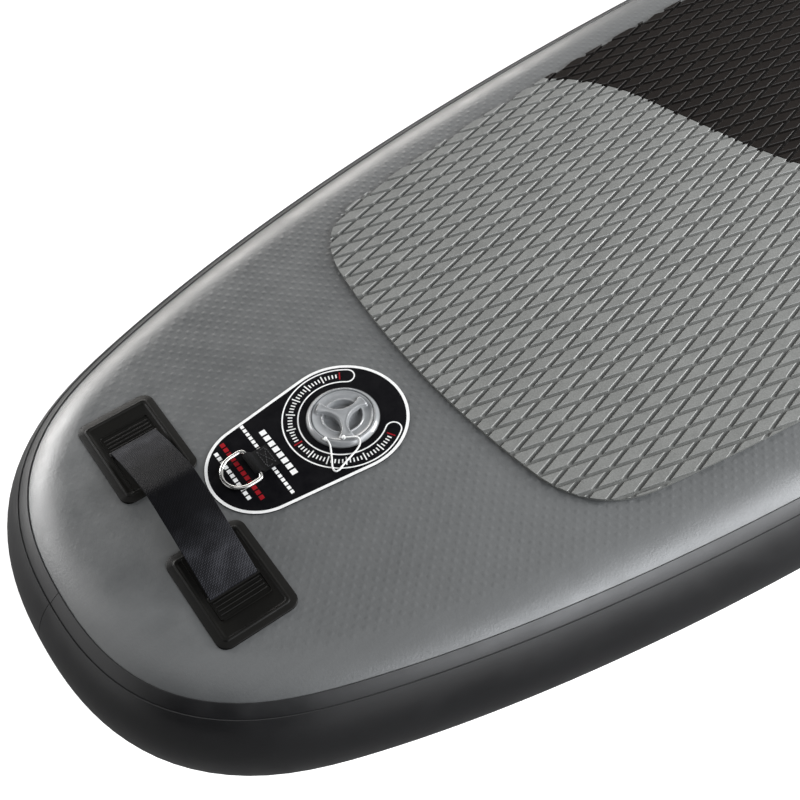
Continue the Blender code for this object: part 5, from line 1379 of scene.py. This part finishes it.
def make_centre_handle():
    """The handle amid the pad: two patches, a strap through their slots, and a soft grip sleeve."""
    for name, side in (("rear", -1), ("front", 1)):
        make_centre_patch(name, CENTRE_X + side * CENTRE_HALF_SPAN)
    top = SEAT_GAP + CENTRE_PATCH_THICKNESS
    level = top + CENTRE_RISE
    rise = [(-CENTRE_HALF_SPAN, SEAT_GAP + 0.0006), (-CENTRE_HALF_SPAN, top + STRAP_THICKNESS)]
    for i in range(1, 24):
        height = (CENTRE_RISE - STRAP_THICKNESS) * (1 - math.cos(math.pi * i / 24)) / 2
        rise.append((-CENTRE_HALF_SPAN + (CENTRE_HALF_SPAN - CENTRE_FLAT) * i / 24,
                     top + STRAP_THICKNESS + height))
    rise.append((-CENTRE_FLAT, level))
    path = [(CENTRE_X + x, 0.0, z) for x, z in rise + [(-x, z) for x, z in reversed(rise)]]
    shape = Shape()
    shape.loft(tape_loops(path, (0, 1, 0), STRAP_THICKNESS, CENTRE_STRAP_WIDTH))
    add_piece("centre_webbing", shape, "webbing", stands_for=["centre_handle_strap"])

    shape = Shape()
    loops = []
    for share in np.linspace(-1.0, 1.0, 61):
        size = grip_end(share)
        crown = 1.0 + 0.05 * math.cos(math.pi * share / 2)
        seam = 1.0 - 0.10 * math.exp(-((abs(share) - 0.84) / 0.016) ** 2)
        section = rounded_rectangle(GRIP_WIDTH * size * seam, GRIP_DEPTH * size * seam * crown / 1.05,
                                    0.0064 * size * seam)
        x = CENTRE_X + share * GRIP_LENGTH / 2
        loops.append([(x, a, level + b) for a, b in section])
    shape.loft(loops)
    grip = add_piece("centre_grip", shape, "padding", stands_for=["centre_handle_grip"])
    thread = Shape()
    for share in (-0.90, -0.78, 0.78, 0.90):
        x = CENTRE_X + share * GRIP_LENGTH / 2
        size = grip_end(share)
        z = GRIP_DEPTH * size / 2 + 0.0001
        edge = GRIP_WIDTH / 2 * size - 0.0075
        for way in (1, -1):
            stitches(thread, (x, -edge, level + way * z), (x, edge, level + way * z), (0, 0, way))
    add_piece("centre_grip_stitching", thread, "thread")


# Fins and inner nodes


def fin_section(rear, front, thickness, z):
    loop = [(front, 0.0, z)]
    spots = [(1 - math.cos(math.pi * k / 15)) / 2 for k in range(1, 15)]
    for way, shares in ((1, spots), (-1, spots[::-1])):
        for share in shares:
            half = thickness / 2 * math.sqrt(math.sin(math.pi * share))
            loop.append((front + (rear - front) * share, way * half, z))
        if way == 1:
            loop.append((rear, 0.0, z))
    return loop


def fin_blade(shape, root, depth, sweep, trailing_sweep, belly, thickness, top, overlap):
    rear, front = root
    loops = [fin_section(rear, front, thickness, top + overlap)]
    for i in range(33):
        share = i / 32
        nose = front - sweep * share**1.6
        tail = rear + belly * math.sin(math.pi * share) - trailing_sweep * share**2
        loops.append(fin_section(tail, nose, thickness * (1 - 0.62 * share), top - depth * share))
    shape.loft(loops)


def make_fin_box():
    """A box on a broad glued foot, with a slot, its side grooves and the way in for the nut plate."""
    low, top = BOX_LOW, HULL_Z - SEAT_GAP
    middle = (BOX_X, 0.0)
    shape = Shape()
    foot = (0.0, top), (0.0, top - 0.0012), (0.0009, top - 0.0026), (0.0022, top - 0.0030)
    shape.levels(stepped(*BOX_FOOT, foot, middle))
    fin_box = add_piece("fin_box_moulding", shape, "fin", stands_for=["fin_box"])
    body = Shape()
    walls = (0.0, top - 0.0015), (0.0, low + 0.0008), (0.0003, low + 0.0002), (0.0009, low)
    body.levels(stepped(*BOX_BODY, walls, middle))
    carve(fin_box, body, "fin", "UNION")
    for length, width, depth_low, depth_high in BOX_CUTS:
        outline = rounded_rectangle(length, width, 0.0004, middle, 1)
        carve(fin_box, block(outline, low + depth_low, low + depth_high), "fin")


def make_centre_fin():
    """The blade, the tongue and neck that hold it in the box, and the block that the screw goes through."""
    fin = Shape()
    root_z = BOX_LOW - SEAT_GAP
    fin_blade(fin, *CENTRE_FIN, root_z, 0.0)
    for length, width, centre, z_low, z_high in (
        (0.154, TONGUE_WIDTH, 0.309, BOX_LOW, BOX_LOW + 0.0195),
        (0.1534, 0.0053, 0.309, root_z - 0.006, BOX_LOW + 0.003),
        (0.054, TONGUE_WIDTH, 0.407, BOX_LOW, BOX_LOW + 0.006),
    ):
        outline = rounded_rectangle(length, width, 0.0006, (centre, 0.0), 2)
        fin.levels([(outline, z_low), (outline, z_high)])
    blade = add_piece("centre_fin_blade", fin, "fin", "fin", ["centre_fin"])
    bore = circle(0.0024, 24, (SCREW_X, 0.0))
    carve(blade, block(bore, BOX_LOW - 0.01, BOX_LOW + 0.01), "fin")


def make_side_fin(name, side):
    fin = Shape()
    fin_blade(fin, *SIDE_FIN, -0.0033, 0.0015)
    fin.moved(Matrix.Rotation(math.radians(side * SIDE_FIN_CANT), 4, "X"))
    steps = ((0.0, -0.0003), (0.0, -0.0018), (0.0008, -0.0029), (0.0020, -0.0033))
    fin.levels(stepped(*SIDE_FIN_FOOT, steps))
    fin.moved(Matrix.Translation((SIDE_FIN_SPOT[0], side * SIDE_FIN_SPOT[1], HULL_Z)))
    add_piece(f"side_fin_{name}_blade", fin, "fin", stands_for=[f"side_fin_{name}"])


def make_inner_nodes():
    """Gives the CAD nodes that stay as they are their better materials."""
    for name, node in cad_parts.items():
        material = "yarn" if name.startswith("drop_stitch_yarn") else NODE_MATERIALS.get(name)
        if material:
            for slot in node.material_slots:
                slot.material = MATERIALS[material]


# Floor and light


def add_floor():
    """A pale floor: white to the camera, dimmer in what it lends to the object, and clear from below."""
    paint = Paint("floor", specular=0.1)
    paint.shader.inputs["Roughness"].default_value = 0.9
    path = paint.node("ShaderNodeLightPath").outputs
    seen = paint.maths("MAXIMUM", path["Is Camera Ray"], path["Is Transmission Ray"])
    speckled = paint.mix(paint.noise(30.0, 2.0), (0.80, 0.80, 0.80), (0.82, 0.82, 0.82))
    paint.feed(paint.shader.inputs["Base Color"], paint.mix(seen, (0.12, 0.12, 0.12), speckled))
    away = paint.node("ShaderNodeVectorMath", {0: paint.place}, operation="LENGTH").outputs["Value"]
    pale = paint.maths("MULTIPLY", seen, paint.fit(away, FLOOR_NEAR, FLOOR_FAR, 0.60, 0.95))
    strength = paint.maths("MULTIPLY_ADD", path["Is Glossy Ray"], 0.08, pale)
    glow = paint.node("ShaderNodeEmission", {"Color": (1, 1, 1, 1), "Strength": strength})
    both = paint.node("ShaderNodeAddShader", {0: paint.shader.outputs[0], 1: glow.outputs[0]})
    below = paint.node("ShaderNodeNewGeometry").outputs["Backfacing"]
    clear = paint.node("ShaderNodeBsdfTransparent").outputs[0]
    sided = paint.node("ShaderNodeMixShader", {0: below, 1: both.outputs[0], 2: clear})
    paint.feed(paint.tree.nodes["Material Output"].inputs["Surface"], sided.outputs[0])
    MATERIALS["floor"] = paint.material
    shape = flat_sheet(FLOOR_SIDE, FLOOR_SIDE).moved(Matrix.Translation(-BOARD_ORIGIN))
    floor = add_piece("floor", shape, "floor", body=None)


def add_area(name, place, target, size, power, colour=(1.0, 1.0, 1.0)):
    light = bpy.data.lights.new(name, "AREA")
    light.shape = "RECTANGLE"
    light.size, light.size_y = size
    light.energy = power
    light.color = colour
    holder = bpy.data.objects.new(name, light)
    holder.location = place
    holder.visible_camera = False
    aim = Vector(target) - Vector(place)
    holder.rotation_euler = aim.to_track_quat("-Z", "Y").to_euler()
    bpy.context.scene.collection.objects.link(holder)


def add_card(name, place, target, size):
    """A black card, seen only in the gloss, where it keeps the white surroundings out."""
    turn = (Vector(target) - Vector(place)).to_track_quat("-Z", "Y").to_matrix().to_4x4()
    shape = flat_sheet(*size).moved(Matrix.Translation(Vector(place) - BOARD_ORIGIN) @ turn)
    card = add_piece(name, shape, "card", body=None)
    card.visible_camera = card.visible_diffuse = card.visible_shadow = card.visible_transmission = False


def add_world():
    """White to the camera, through glass and in gloss, and a faint even light on all else."""
    world = bpy.data.worlds.new("studio")
    world.use_nodes = True
    bpy.context.scene.world = world
    sky = Nodes(world.node_tree)
    path = sky.node("ShaderNodeLightPath").outputs
    seen = sky.maths("MAXIMUM", path["Is Camera Ray"], path["Is Transmission Ray"])
    seen = sky.maths("MAXIMUM", seen, path["Is Glossy Ray"])
    background = sky.tree.nodes["Background"].inputs
    background["Color"].default_value = (1.0, 1.0, 1.0, 1.0)
    sky.feed(background["Strength"], sky.fit(seen, 0.0, 1.0, WORLD_LIGHT, 1.0))


def add_light():
    cool, warm = (0.93, 0.96, 1.0), (1.0, 0.965, 0.92)
    add_area("nose_bank", (1.63, -1.56, 1.27), (-0.6, 0.0, 0.38), (1.4, 0.7), 125.0)
    add_area("starboard_bank", (-0.05, -2.05, 2.15), (-0.7, -0.3, 0.38), (3.4, 1.1), 88.0, cool)
    add_card("port_card", (-1.35, 1.35, 2.11), (-1.35, 0.0, 0.38), (2.0, 1.3))
    add_card("tail_card", (-3.09, -1.31, 1.41), (-1.5, -0.2, 0.38), (3.0, 2.4))
    add_area("port_bank", (-0.9, 2.60, 0.90), (-0.9, 0.3, 0.38), (3.4, 0.6), 46.0, warm)
    add_area("tail_strip", (-2.35, 1.95, 1.15), (-1.5, 0.1, 0.38), (1.5, 0.8), 38.0)


add_camera()
make_tether()
make_hull()
make_pad()
make_valve_body()
make_valve_cap()
make_label()
make_leash_ring()
make_tow_ring()
make_bungee()
make_end_handle("tail_handle", TAIL_HANDLE_X)
make_end_handle("nose_handle", NOSE_HANDLE_X)
make_centre_handle()
make_fin_box()
make_centre_fin()
make_side_fin("port", 1)
make_side_fin("starboard", -1)
make_spring()
make_inner_nodes()
add_floor()
add_world()
add_light()

bpy.context.scene.view_settings.view_transform = "Standard"
